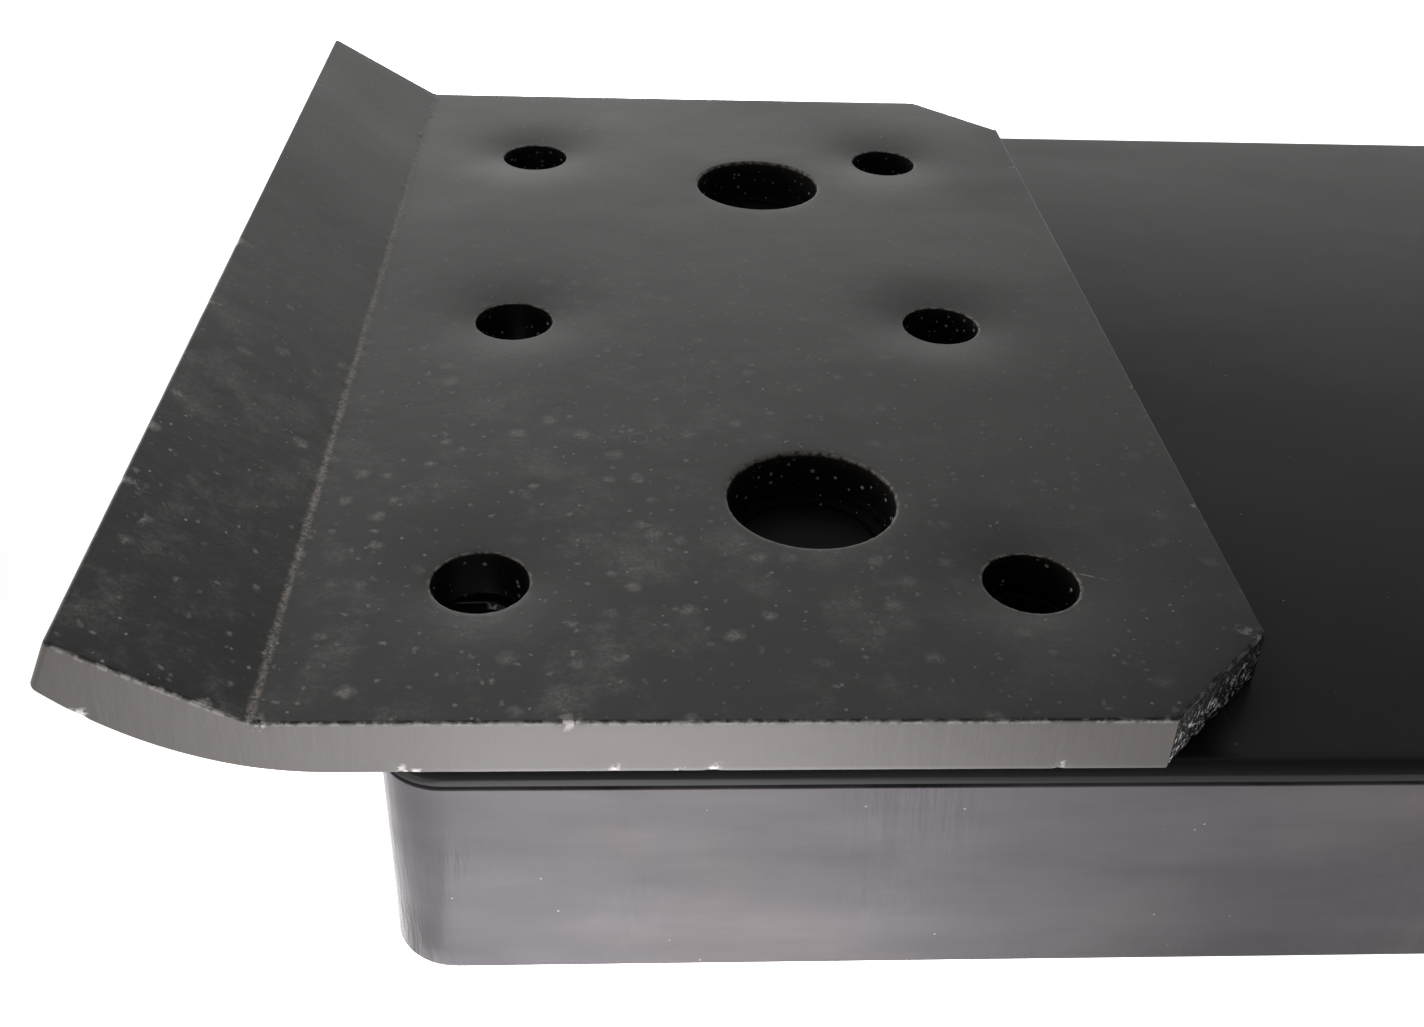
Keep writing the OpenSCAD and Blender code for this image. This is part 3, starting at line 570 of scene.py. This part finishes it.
def plate_section(u, depth):
    """(x, z) on the right-hand plate's section: u runs outward from the crease along the top, and
    depth is 0 on the top and 1 on the underside."""
    soft = 1.3 * MM
    if u > soft:
        rise = u
    elif u > -soft:
        rise = (u + soft) ** 2 / (4 * soft)
    else:
        rise = 0.0
    outward = math.cos(lip_angle) if u > 0 else 1.0
    top = Vector((crease_x + u * outward, plate_top + rise * math.sin(lip_angle)))
    if u < -bend_start:
        under = Vector((top.x, plate_top - plate_t))
    else:
        sweep = bend_sweep * (u + bend_start) / (lip_l + bend_start)
        under = Vector((crease_x - bend_start + bend_r * math.sin(sweep),
                        plate_top - plate_t + bend_r * (1 - math.cos(sweep))))
    return top.lerp(under, depth)


def plate_holes():
    """(centre in (u, y), radius, dish depth, dish reach) for the six punched holes and the two weld holes."""
    holes = []
    for side in (-0.5, 0.5):
        for row in (-1, 0, 1):
            centre = Vector((grid_x + side * bolt_pitch - crease_x, grid_y + row * bolt_pitch))
            holes.append((centre, bolt_r, 1.4 * MM, 23 * MM))
    for y in weld_y:
        holes.append((Vector((weld_x - crease_x, y)), weld_r, 0.12 * MM, 5 * MM))
    return holes


def dish(point, holes):
    """How far the plate's top is pressed down at a point in (u, y)."""
    depth = 0.0
    for centre, radius, deepest, reach in holes:
        out = ((point - centre).length - radius) / reach
        if out < 1:
            depth += deepest * (1 - max(out, 0.0)) ** 2.4
    return min(depth, 1.6 * MM)


def hex_points(low, high, spacing, clear):
    """A triangular grid of points over a rectangle, where clear(point) holds."""
    points = []
    rows = int((high.y - low.y) / (spacing * math.sqrt(3) / 2))
    columns = int((high.x - low.x) / spacing)
    for row in range(rows + 1):
        for column in range(columns + 1):
            shift = (row % 2) * spacing / 2
            point = Vector((low.x + shift + column * spacing, low.y + row * spacing * math.sqrt(3) / 2))
            if point.x < high.x and clear(point):
                points.append(point)
    return points


def ring(centre, radius, count):
    return [centre + radius * Vector((math.cos(2 * math.pi * k / count), math.sin(2 * math.pi * k / count)))
            for k in range(count)]


def skin(outer, hole_loops, loose):
    """Triangles between the outer loop and the hole loops, through the loose points. Returns the
    triangles as numbers into outer + hole loops + loose."""
    points = list(outer)
    edges = [(i, (i + 1) % len(outer)) for i in range(len(outer))]
    starts = []
    for loop in hole_loops:
        base = len(points)
        starts.append((base, base + len(loop)))
        edges += [(base + i, base + (i + 1) % len(loop)) for i in range(len(loop))]
        points += loop
    points += loose
    made, _, triangles, source, _, _ = delaunay_2d_cdt(points, edges, [], 1, 1e-9)
    number = [group[0] for group in source]
    kept = []
    for triangle in triangles:
        corners = [number[i] for i in triangle]
        if not any(all(start <= c < stop for c in corners) for start, stop in starts):
            kept.append(corners)
    return kept


def chip_marks(length, seed):
    """(place along the outline, depth, half width, size) for small chips on the plate's two edges,
    most of them on the lower one."""
    draw = random.Random(seed)
    depths = (0.02, 0.97, 0.97)
    return [(draw.uniform(0, length), draw.choice(depths), draw.uniform(0.4, 1.9) * MM,
             draw.uniform(0.06, 0.3) * MM) for _ in range(60)]


def hole_sides(radius):
    return small_hole_sides if radius < 12 * MM else large_hole_sides


def build_plate(name, side, seed):
    """A mounting plate with punched holes, a soft crease, rounded and chipped edges and flame-cut
    corners. Points are laid out in (u, y), where u runs outward from the crease."""
    low = Vector((inboard_x - crease_x, plate_lo.y))
    high = Vector((lip_l, plate_hi.y))
    corners = [Vector((low.x + corner_cut, low.y)), Vector((high.x, low.y)), Vector((high.x, high.y)),
               Vector((low.x + corner_cut, high.y)), Vector((low.x, high.y - corner_cut)),
               Vector((low.x, low.y + corner_cut))]
    outline = rounded_outline(corners, [1.3 * MM] * 6, 1.2 * MM)
    facings = ((0, 1), (0, -1), (1, 0), (-1, 0), (-1, 1), (-1, -1))
    edge_normals = [Vector(facing).normalized() for facing in facings]
    holes = plate_holes()
    vertices, spots, faces = [], [], []
    marks = {"worn": [], "sawn": [], "bore": [], "top": []}

    def place(point, depth, press=0.0, **levels):
        x, z = plate_section(point.x, depth)
        vertices.append((side * x, point.y, z - press))
        spots.append(point.copy())
        for key in marks:
            marks[key].append(levels.get(key, 0.0))

    # outer wall, from the top's rounding down to the underside's: (inset in mm, depth)
    rim = [(0.6, 0.0), (0.35, 0.008), (0.15, 0.024), (0.04, 0.05), (0.0, 0.09)]
    wall = [(0.0, f) for f in (0.2, 0.3, 0.4, 0.5, 0.6, 0.7, 0.8, 0.9)]
    foot = [(0.0, 0.955), (0.08, 0.985), (0.3, 1.0)]
    profile = rim + wall + foot
    travel = [0.0]
    for (a, _), (b, _) in zip(outline, outline[1:]):
        travel.append(travel[-1] + (b - a).length)
    chips = chip_marks(travel[-1], seed)
    for inset, depth in profile:
        for (point, normal), s in zip(outline, travel):
            cut_face = abs(normal.x + math.sqrt(0.5)) < 0.05
            streak = noise.noise(Vector((s * 420, depth * 2.5, seed)))
            rough = (0.65 if cut_face else 0.03) * MM * (0.5 + 0.5 * streak)
            rough += 0.05 * MM * (0.5 + 0.5 * noise.noise(Vector((s * 160, depth * 3, seed + 7))))
            chip = 0.0
            for at, level, half, size in chips:
                near_chip = 1 - ((s - at) / half) ** 2 - ((depth - level) / 0.09) ** 2
                chip = max(chip, size * max(0.0, near_chip))
            rubbed = 0.3 if 0.0 < depth < 0.06 else 0.0
            flat = max(normal.dot(facing) for facing in edge_normals) > 0.9999
            moved = point - normal * (inset * MM + (rough + chip) * (1.0 if flat else 0.15))
            place(moved, depth, press=dish(moved, holes) if depth == 0 else 0.0, top=float(depth < 0.01),
                  worn=1.0 if chip > 0.05 * MM else rubbed,
                  sawn=float(cut_face and 0.03 < depth < 0.97))
    count = len(outline)
    for level in range(len(profile) - 1):
        faces += loop_faces(level * count, (level + 1) * count, count)

    # hole walls: (outset in mm, depth)
    hole_tops, hole_bottoms = [], []
    lining = [(0.7, 0.0), (0.3, 0.012), (0.08, 0.04), (0.0, 0.09)]
    lining += [(0.0, 0.35), (0.0, 0.65), (0.0, 0.93), (0.3, 1.0)]
    for hole_number, (centre, radius, _, _) in enumerate(holes):
        sides = hole_sides(radius)
        first = len(vertices)
        for out, depth in lining:
            for k, point in enumerate(ring(centre, 1.0, sides)):
                jag = 0.12 * MM * noise.noise(Vector((k * 0.9, hole_number * 5 + seed, depth * 2)))
                at = centre + (point - centre) * (radius + out * MM + jag)
                sunk = dish(at, holes) * (1 - min(1.0, depth * 6))
                place(at, depth, press=sunk, worn=0.7 * (0.005 < depth < 0.08), bore=float(depth > 0.1))
        for level in range(len(lining) - 1):
            upper, lower = first + level * sides, first + (level + 1) * sides
            faces += [face[::-1] for face in loop_faces(upper, lower, sides)]
        hole_tops.append((first, sides))
        hole_bottoms.append((first + (len(lining) - 1) * sides, sides))

    def cover(level_start, hole_starts, depth, spacing):
        """Closes the top or the underside."""
        outer_ids = list(range(level_start, level_start + count))
        hole_ids = [list(range(start, start + sides)) for start, sides in hole_starts]
        margin = Vector((1, 1)) * (0.75 * spacing + 1.5 * MM)

        def clear(point):
            from_corner = (point.x - low.x) + min(point.y - low.y, high.y - point.y)
            off_corners = from_corner > corner_cut + 1.5 * margin.x
            return off_corners and all((point - centre).length > radius + reach + 0.7 * spacing
                                       for centre, radius, _, reach in holes)

        loose = hex_points(low + margin, high - margin, spacing, clear)
        for centre, radius, _, reach in holes:
            out = 1.4 * MM
            while out < reach + 0.4 * spacing:
                loose += [p for p in ring(centre, radius + out, hole_sides(radius))
                          if all((p - other).length > wide + 1.2 * MM for other, wide, _, _ in holes)]
                out *= 1.32
        for line in (-3.2, -1.9, -0.9, 0.0, 0.9, 1.9, 3.2):
            loose += [Vector((line * MM, low.y + 3 * MM + spacing * k))
                      for k in range(int((high.y - low.y - 6 * MM) / spacing))]
        ids = outer_ids + [i for loop in hole_ids for i in loop]
        outer_loop = [spots[i] for i in outer_ids]
        hole_loops = [[spots[i] for i in loop] for loop in hole_ids]
        first = len(vertices)
        for point in loose:
            wave = 0.05 * MM * noise.noise(Vector((point.x * 28, point.y * 28, seed)))
            place(point, depth, press=(dish(point, holes) + wave) if depth == 0 else 0.0, top=1.0 - depth)
        ids += list(range(first, len(vertices)))
        for triangle in skin(outer_loop, hole_loops, loose):
            numbers = [ids[i] for i in triangle]
            faces.append(numbers if depth == 1 else numbers[::-1])

    cover(0, hole_tops, 0, 2.8 * MM)
    cover((len(profile) - 1) * count, hole_bottoms, 1, 9 * MM)

    if side > 0:
        faces = [face[::-1] for face in faces]
    plate = make_piece(name, vertices, faces, "plate_paint")
    for key, values in marks.items():
        plate.data.attributes.new(key, "FLOAT", "POINT").data.foreach_set("value", values)
    plate.modifiers.new("even shading", "WEIGHTED_NORMAL").weight = 80
    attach(plate, "base")
    return plate


# ---- crossbeam ----

def build_beam():
    """The dipped pan: slightly wavy faces, rounded edges, an open underside and drilled bolt holes."""
    skin_low = beam_top - pan_wall
    bend_low = beam_top - pan_edge_r
    foot_r = 0.4 * MM
    half = Vector((beam_hi.x, beam_hi.y))
    corners = [Vector((-half.x, -half.y)), Vector((half.x, -half.y)), half, Vector((-half.x, half.y))]
    outline = rounded_outline(corners, [pan_corner_r] * 4, 5 * MM)
    inner_corners = [corner - Vector([math.copysign(pan_wall, c) for c in corner]) for corner in corners]
    inner = rounded_outline(inner_corners, [2 * MM] * 4, 12 * MM)
    profile = [(foot_r, 0.0), (0.3 * foot_r, 0.3 * foot_r), (0.0, foot_r)]
    profile += [(0.0, foot_r + (bend_low - foot_r) * k / 12) for k in range(1, 13)]
    profile += [(pan_edge_r * (1 - math.cos(turn)), bend_low + pan_edge_r * math.sin(turn))
                for turn in (math.pi / 2 * k / 7 for k in range(1, 8))]
    vertices, spots, faces = [], [], []

    def place(point, z):
        vertices.append((point.x, point.y, z))
        spots.append(point.copy())

    def add_loop(points, z):
        first = len(vertices)
        for point in points:
            place(point, z)
        return list(range(first, len(vertices)))

    def sag(x, y, z):
        """Depth of the dips in the dipped skin."""
        slow = 0.5 + 0.5 * noise.noise(Vector((x * 13, y * 13, z * 20 + 4)))
        quick = 0.5 + 0.5 * noise.noise(Vector((x * 60, y * 60, z * 25)))
        return (0.28 * slow + 0.05 * quick) * MM

    loops = []
    for inset, z in profile:
        dips = min(1.0, z / (6 * MM)) if z < bend_low else (beam_top - z) / pan_edge_r
        loops.append(add_loop([point - normal * (inset + dips * sag(point.x, point.y, z))
                               for point, normal in outline], z))
    count = len(outline)
    for level in range(len(profile) - 1):
        faces += loop_faces(loops[level][0], loops[level + 1][0], count)

    rim = add_loop([point for point, normal in inner], 0.0)
    inner_top = add_loop([point for point, normal in inner], skin_low)
    faces += [face[::-1] for face in loop_faces(rim[0], inner_top[0], len(inner))]
    for triangle in skin([spots[i] for i in loops[0]], [[spots[i] for i in rim]], []):
        ids = loops[0] + rim
        faces.append([ids[i] for i in triangle][::-1])

    holes = []
    for side in (-1, 1):
        holes += [(Vector((side * (centre.x + crease_x), centre.y)), bolt_r)
                  for centre, radius, _, _ in plate_holes() if radius == bolt_r]
    for low, high in islands("foot_bolts"):
        middle = (low + high) / 2
        holes.append((middle.xy, foot_bolt_hole_r))
    tops, unders = [], []
    for centre, radius in holes:
        upper = add_loop(ring(centre, radius + 0.4 * MM, 32), beam_top)
        throat = add_loop(ring(centre, radius, 32), beam_top - 0.6 * MM)
        inside = half.x - pan_wall - 0.5 * MM
        lower = add_loop([Vector((max(-inside, min(inside, point.x)), point.y))
                          for point in ring(centre, radius, 32)], skin_low)
        faces += [face[::-1] for face in loop_faces(throat[0], upper[0], 32)]
        faces += [face[::-1] for face in loop_faces(lower[0], throat[0], 32)]
        tops.append(upper)
        unders.append(lower)

    def cover(outer, hole_ids, z, spacing, dipped):
        """Closes the top or the skin's underside."""
        margin = Vector((1, 1)) * (pan_edge_r + spacing)

        def clear(point):
            return all((point - centre).length > radius + 0.6 * spacing for centre, radius in holes)

        loose = hex_points(margin - half, half - margin, spacing, clear)
        ids = outer + [i for loop in hole_ids for i in loop]
        first = len(vertices)
        for point in loose:
            place(point, z - (0.6 * sag(point.x, point.y, z) if dipped else 0.0))
        ids += list(range(first, len(vertices)))
        triangles = skin([spots[i] for i in outer], [[spots[i] for i in loop] for loop in hole_ids], loose)
        faces.extend([ids[i] for i in (triangle if dipped else triangle[::-1])] for triangle in triangles)

    cover(loops[-1], tops, beam_top, 7 * MM, True)
    cover(inner_top, unders, skin_low, 26 * MM, False)
    beam = make_piece("dipped_crossbeam", vertices, faces, "beam_paint", "base")
    beam.modifiers.new("even shading", "WEIGHTED_NORMAL").weight = 80
    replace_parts(beam, "beam_top", "beam_side_front", "beam_side_rear", "beam_end_left", "beam_end_right")


# ---- detailed pieces ----

def polar_piece(name, rings, sides, material_slot, body, along):
    """Rings of (place along the axis, radius at each angle) joined into a closed turned shape. along
    turns (radius, angle, place) into a point."""
    vertices = []
    for level, radius in rings:
        for k in range(sides):
            angle = 2 * math.pi * k / sides
            vertices.append(along(radius(angle) if callable(radius) else radius, angle, level))
    return make_piece(name, vertices, tube_faces(len(rings), sides), material_slot, body)


def about_z(centre):
    def place(r, angle, z):
        return centre.x + r * math.cos(angle), centre.y + r * math.sin(angle), z
    return place


def about_y(centre):
    def place(r, angle, y):
        return centre.x - r * math.cos(angle), centre.y + y, centre.z + r * math.sin(angle)
    return place


def join(name, pieces):
    """Merges pieces that ride on the same body into the first one."""
    with bpy.context.temp_override(active_object=pieces[0], selected_editable_objects=pieces):
        bpy.ops.object.join()
    pieces[0].name = name
    return pieces[0]


def hex_radius(across_corners):
    """Radius of a hexagon at each angle, with its corners a little rounded."""
    flat = across_corners / 2 * math.cos(math.pi / 6)

    def radius(angle):
        off = angle % (math.pi / 3) - math.pi / 6
        return min(flat / math.cos(off), across_corners / 2 * 0.985)

    return radius


def hex_rings(low, high, across_corners, chamfer_low=False):
    """Rings of a hexagon head whose corners are turned off at 30 degrees at the top, or at both ends."""
    edge = hex_radius(across_corners)
    flat = across_corners / 2 * math.cos(math.pi / 6)
    depth = 0.12 * across_corners / 2
    drops = [0.0, 0.25 * depth, 0.5 * depth, depth]

    def turned(drop):
        return lambda angle: min(edge(angle), 0.95 * flat + drop / math.tan(math.radians(30)))

    rings = [(low + d, turned(d)) for d in drops] if chamfer_low else [(low, edge)]
    return rings + [(high - d, turned(d)) for d in drops[::-1]]


def thread_rings(low, high, radius, pitch):
    """Rings of a helical thread."""
    rings = []
    steps = max(2, round((high - low) / (pitch / 5)))
    for step in range(steps + 1):
        z = low + (high - low) * step / steps

        def radius_at(angle, z=z):
            turn = (z / pitch - angle / (2 * math.pi)) % 1.0
            return radius - 0.495 * pitch * abs(2 * turn - 1)

        rings.append((z, radius_at))
    return rings


def islands(node):
    """(lowest corner, highest corner) of each separate solid of a CAD node."""
    mesh = nodes[node].data
    places = [tuple(round(c, 6) for c in vertex.co) for vertex in mesh.vertices]
    parent = {p: p for p in places}

    def root(p):
        while parent[p] != p:
            parent[p] = parent[parent[p]]
            p = parent[p]
        return p

    for polygon in mesh.polygons:
        corners = [places[i] for i in polygon.vertices]
        for other in corners[1:]:
            parent[root(other)] = root(corners[0])
    groups = {}
    for p in parent:
        groups.setdefault(root(p), []).append(p)
    boxes = []
    for points in groups.values():
        boxes.append((Vector([min(p[i] for p in points) for i in range(3)]),
                      Vector([max(p[i] for p in points) for i in range(3)])))
    return sorted(boxes, key=lambda box: tuple(box[0]))


def build_ring_welds(name, node):
    """Beads round the inside of the weld holes, laid in overlapping ripples."""
    pieces = []
    for number, (low, high) in enumerate(islands(node)):
        middle = (low + high) / 2
        leg = high.z - low.z
        outer = (high.x - low.x) / 2 + 0.2 * MM
        bottom = low.z - 0.1 * MM
        turns, steps = 220, 10
        vertices, faces = [], []
        for k in range(turns):
            angle = 2 * math.pi * k / turns
            ripple = abs((k * 26 / turns) % 1.0 - 0.35) * 0.5 * MM
            size = leg * (0.92 + 0.1 * noise.noise(Vector((k * 0.06, number, 3)))) - ripple
            for step in range(steps + 1):
                turn = math.pi / 2 * step / steps
                bulge = size * (1 - 0.42 * math.sin(2 * turn))
                r = outer - bulge * math.cos(turn)
                z = bottom + bulge * math.sin(turn)
                vertices.append((middle.x + r * math.cos(angle), middle.y + r * math.sin(angle), z))
        row = steps + 1
        for k in range(turns):
            nxt = (k + 1) % turns
            faces += [(k * row + i, nxt * row + i, nxt * row + i + 1, k * row + i + 1) for i in range(steps)]
        corner = len(vertices)
        for k in range(turns):
            nxt = (k + 1) % turns
            angle = 2 * math.pi * k / turns
            vertices.append((middle.x + outer * math.cos(angle), middle.y + outer * math.sin(angle), bottom))
            faces.append((corner + k, corner + nxt, nxt * row, k * row))
            faces.append((k * row + steps, nxt * row + steps, corner + nxt, corner + k))
        pieces.append(make_piece(name + "_" + str(number), vertices, faces, "weld_paint", "base"))
    bead = join(name, pieces)
    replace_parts(bead, node)


def build_bolts():
    """Hex head bolts with turned heads and threaded ends, and their nuts."""
    heads, nuts = [], []
    for low, high in islands("foot_bolts"):
        across = high.x - low.x
        middle = (low + high) / 2
        shank = 8 * MM
        head_low = high.z - 10 * MM
        nut_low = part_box("foot_nuts")[0].z
        rings = [(low.z, shank - 1.6 * MM)] + thread_rings(low.z + 0.8 * MM, nut_low + 1 * MM, shank, 2 * MM)
        rings += [(nut_low + 1.4 * MM, shank - 0.05 * MM), (head_low - 0.01 * MM, shank - 0.05 * MM)]
        rings += hex_rings(head_low, high.z - 0.3 * MM, across)
        rings += [(high.z, across * 0.34), (high.z - 0.25 * MM, across * 0.3)]
        heads.append(polar_piece("bolt", rings, 72, "zinc_steel", "base", about_z(middle)))
    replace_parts(join("foot_bolts_detailed", heads), "foot_bolts")
    for low, high in islands("foot_nuts"):
        middle = (low + high) / 2
        rings = [(low.z, 8.4 * MM)] + hex_rings(low.z, high.z, high.x - low.x, True) + [(high.z, 8.4 * MM)]
        nuts.append(polar_piece("nut", rings, 72, "zinc_steel", "base", about_z(middle)))
    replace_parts(join("foot_nuts_detailed", nuts), "foot_nuts")


def build_roll_nut():
    """The big nut on the roll pin."""
    low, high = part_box("roll_nut")
    middle = (low + high) / 2
    depth = high.y - low.y
    rings = [(-depth / 2, 16.6 * MM)] + hex_rings(-depth / 2, depth / 2, high.x - low.x, True)
    rings.append((depth / 2, 16.6 * MM))
    nut = polar_piece("roll_nut_detailed", rings, 96, "zinc_steel", "rocker", about_y(middle))
    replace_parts(nut, "roll_nut")


def build_grip():
    """Two ribbed vinyl grips on the T handle."""
    grips = []
    for low, high in islands("handle_grip"):
        middle = (low + high) / 2
        length, radius = high.y - low.y, (high.x - low.x) / 2
        end = length / 2
        shoulder = [(0.0, 0.62), (0.3 * MM, 0.8), (1.2 * MM, 0.93)]
        rings = [(inset - end, radius * share) for inset, share in shoulder]
        steps = 96
        for step in range(steps + 1):
            y = 2.6 * MM - end + (length - 5.2 * MM) * step / steps
            groove = max(0.0, math.sin(2 * math.pi * y / (4.4 * MM))) ** 2
            inside = 1.0 if abs(y) < end - 6 * MM else 0.0
            rings.append((y, radius * (1.0 - 0.075 * groove * inside)))
        rings += [(end - inset, radius * share) for inset, share in reversed(shoulder)]
        grips.append(polar_piece("grip", rings, 64, "grip_vinyl", "lock", about_y(middle)))
    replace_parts(join("handle_grips_ribbed", grips), "handle_grip")


def build_spring():
    """The return spring: a close wound coil from the stud on the head to the arm on the lock rod."""
    low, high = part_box("return_spring")
    wire = 1.3 * MM
    coil = (high.y - low.y) / 2 - wire
    middle = (low + high) / 2
    start, finish = high.x - wire, low.x + wire
    turns, per_turn, sides = 26, 26, 10

    def path(t):
        angle = 2 * math.pi * turns * t
        grip = min(1.0, max(0.0, (t * turns - 0.9) / 0.8))
        radius = coil - (1 - grip) * 2.6 * MM
        return Vector((start + (finish - start) * t, middle.y + radius * math.cos(angle),
                       middle.z + radius * math.sin(angle)))

    centres = [path(k / (turns * per_turn)) for k in range(turns * per_turn + 1)]
    end = centres[-1]
    hook = [(0.3, 0.92), (-0.2, 0.7), (-1.2, 0.35), (-3, 0.12), (-5, 0.0), (-7, 0.0)]
    centres += [Vector((end.x + dx * MM, middle.y + (end.y - middle.y) * share, end.z))
                for dx, share in hook]
    vertices = []
    for k, centre in enumerate(centres):
        ahead = (centres[min(k + 1, len(centres) - 1)] - centres[max(k - 1, 0)]).normalized()
        side = ahead.cross(Vector((1, 0, 0)))
        side = side.normalized() if side.length > 1e-4 else Vector((0, 0, 1))
        other = ahead.cross(side)
        for i in range(sides):
            angle = 2 * math.pi * i / sides
            vertices.append(centre + wire * (side * math.cos(angle) + other * math.sin(angle)))
    faces = tube_faces(len(centres), sides)
    spring = make_piece("return_spring_coil", [tuple(v) for v in vertices], faces, "spring_wire")
    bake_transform(spring)
    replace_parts(spring, "return_spring")


def bead_rings(start, finish, out, up, leg, seed):
    """One weld bead along a corner: out and up point along the two joined faces."""
    length = (finish - start).length
    count = max(8, round(length / (0.9 * MM)))
    steps = 7
    sunk = 0.15 * MM
    vertices = []
    for k in range(count + 1):
        s = k / count
        taper = min(1.0, min(s, 1 - s) * length / (3 * MM)) ** 0.5
        wave = ((k * 0.9 / 2.6) % 1.0 - 0.4) * 0.1
        lumps = 0.14 * noise.noise(Vector((s * length * 70, seed, 1)))
        size = leg * (0.25 + 0.75 * taper) * (1 + wave + lumps)
        base = start.lerp(finish, s)
        for step in range(steps + 1):
            turn = math.pi / 2 * step / steps
            bulge = size * (1 - 0.3 * math.sin(2 * turn))
            across = bulge * math.cos(turn) - sunk
            tall = bulge * math.sin(turn) - sunk
            vertices.append(base + out * across + up * tall)
        vertices.append(base - (out + up) * 0.2 * MM)
    return vertices, tube_faces(count + 1, steps + 2)


def weld_seams(name, body, material_slot, seams, leg):
    """Joins several beads into one piece. Each seam is (start, finish, out, up)."""
    vertices, faces = [], []
    for number, seam in enumerate(seams):
        start, finish, out, up = (Vector(value) for value in seam)
        more, more_faces = bead_rings(start, finish, out, up, leg, number * 3.7)
        base = len(vertices)
        if (finish - start).dot(out.cross(up)) > 0:
            more_faces = [face[::-1] for face in more_faces]
        vertices += [tuple(v) for v in more]
        faces += [[base + i for i in face] for face in more_faces]
    make_piece(name, vertices, faces, material_slot, body)


def seams_along(low, high, level, up):
    """Seams on both long sides of a box that stands or hangs at a level."""
    inset = 4 * MM
    if high.y - low.y > high.x - low.x:
        return [((x, low.y + inset, level), (x, high.y - inset, level), (way, 0, 0), up)
                for x, way in ((low.x, -1), (high.x, 1))]
    return [((low.x + inset, y, level), (high.x - inset, y, level), (0, way, 0), up)
            for y, way in ((low.y, -1), (high.y, 1))]


def build_welds():
    """The welds that the CAD leaves out."""
    upward, downward = (0, 0, 1), (0, 0, -1)
    trim = 3 * MM
    seams = []
    for node in ("upright_left", "upright_right", "gussets"):
        for low, high in islands(node):
            seams += seams_along(low, high, low.z, upward)
    weld_seams("upright_welds", "base", "frame_paint", seams, 5 * MM)
    seams = []
    tube_low, tube_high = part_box("cross_tube")
    for x, way in ((tube_low.x, 1), (tube_high.x, -1)):
        for y, out in ((tube_low.y, -1), (tube_high.y, 1)):
            seams.append(((x, y, tube_low.z + trim), (x, y, tube_high.z - trim), (way, 0, 0), (0, out, 0)))
        for z, out in ((tube_low.z, -1), (tube_high.z, 1)):
            seams.append(((x, tube_low.y + trim, z), (x, tube_high.y - trim, z), (way, 0, 0), (0, 0, out)))
    weld_seams("cross_tube_welds", "base", "frame_paint", seams, 5 * MM)
    seams = []
    for node in ("web_left", "web_right", "front_web", "rear_webs", "outer_ribs"):
        for low, high in islands(node):
            seams += seams_along(low, high, high.z, downward)
    weld_seams("skid_plate_welds", "head", "head_paint", seams, 4.5 * MM)
    seams = []
    for low, high in islands("rocker_ends"):
        x, way = (low.x, -1) if low.x > 0 else (high.x, 1)
        for y, inward in ((low.y, 1), (high.y, -1)):
            seams.append(((x, y, low.z + trim), (x, y, high.z - trim), (way, 0, 0), (0, inward, 0)))
    weld_seams("rocker_welds", "rocker", "frame_paint", seams, 4 * MM)


def soften_edges():
    """Every carried-over CAD node gets small rounded edges."""
    widths = {"pull_pin_left": 0.6, "pull_pin_right": 0.6, "spring_arm": 0.5,
              "latch_lever": 0.5, "pitch_clips": 0.4, "grease_fittings": 0.3, "spring_stud": 0.5,
              "foot_washers": 0.4, "throat_rails": 0.8, "bump_stops": 0.8}
    for name, node in nodes.items():
        width = widths.get(name, 1.0) * MM
        if node.hide_render:
            continue
        node.modifiers.new("one skin", "WELD").merge_threshold = 0.01 * MM
        bevel = node.modifiers.new("rounded edges", "BEVEL")
        bevel.width = width
        bevel.segments = 2
        bevel.limit_method = "ANGLE"
        bevel.angle_limit = math.radians(35)
        bevel.harden_normals = True


# ---- the scene ----

look_through_the_photographs_camera()
light_the_sky(horizon=1.5, overhead=0.48)
lay_the_floor(glow=1.65, pool=4.9)
materials = all_materials()
for subpart in frame["record"]["subparts"]:
    nodes[subpart["node"]].material_slots[0].material = materials[subpart["material_slot"]]

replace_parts(build_plate("left_mounting_plate", -1, 3), "mount_plate_left")
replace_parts(build_plate("right_mounting_plate", 1, 8), "mount_plate_right")
build_beam()
build_ring_welds("left_ring_welds", "ring_welds_left")
build_ring_welds("right_ring_welds", "ring_welds_right")
build_bolts()
build_roll_nut()
build_grip()
build_spring()
build_welds()
soften_edges()
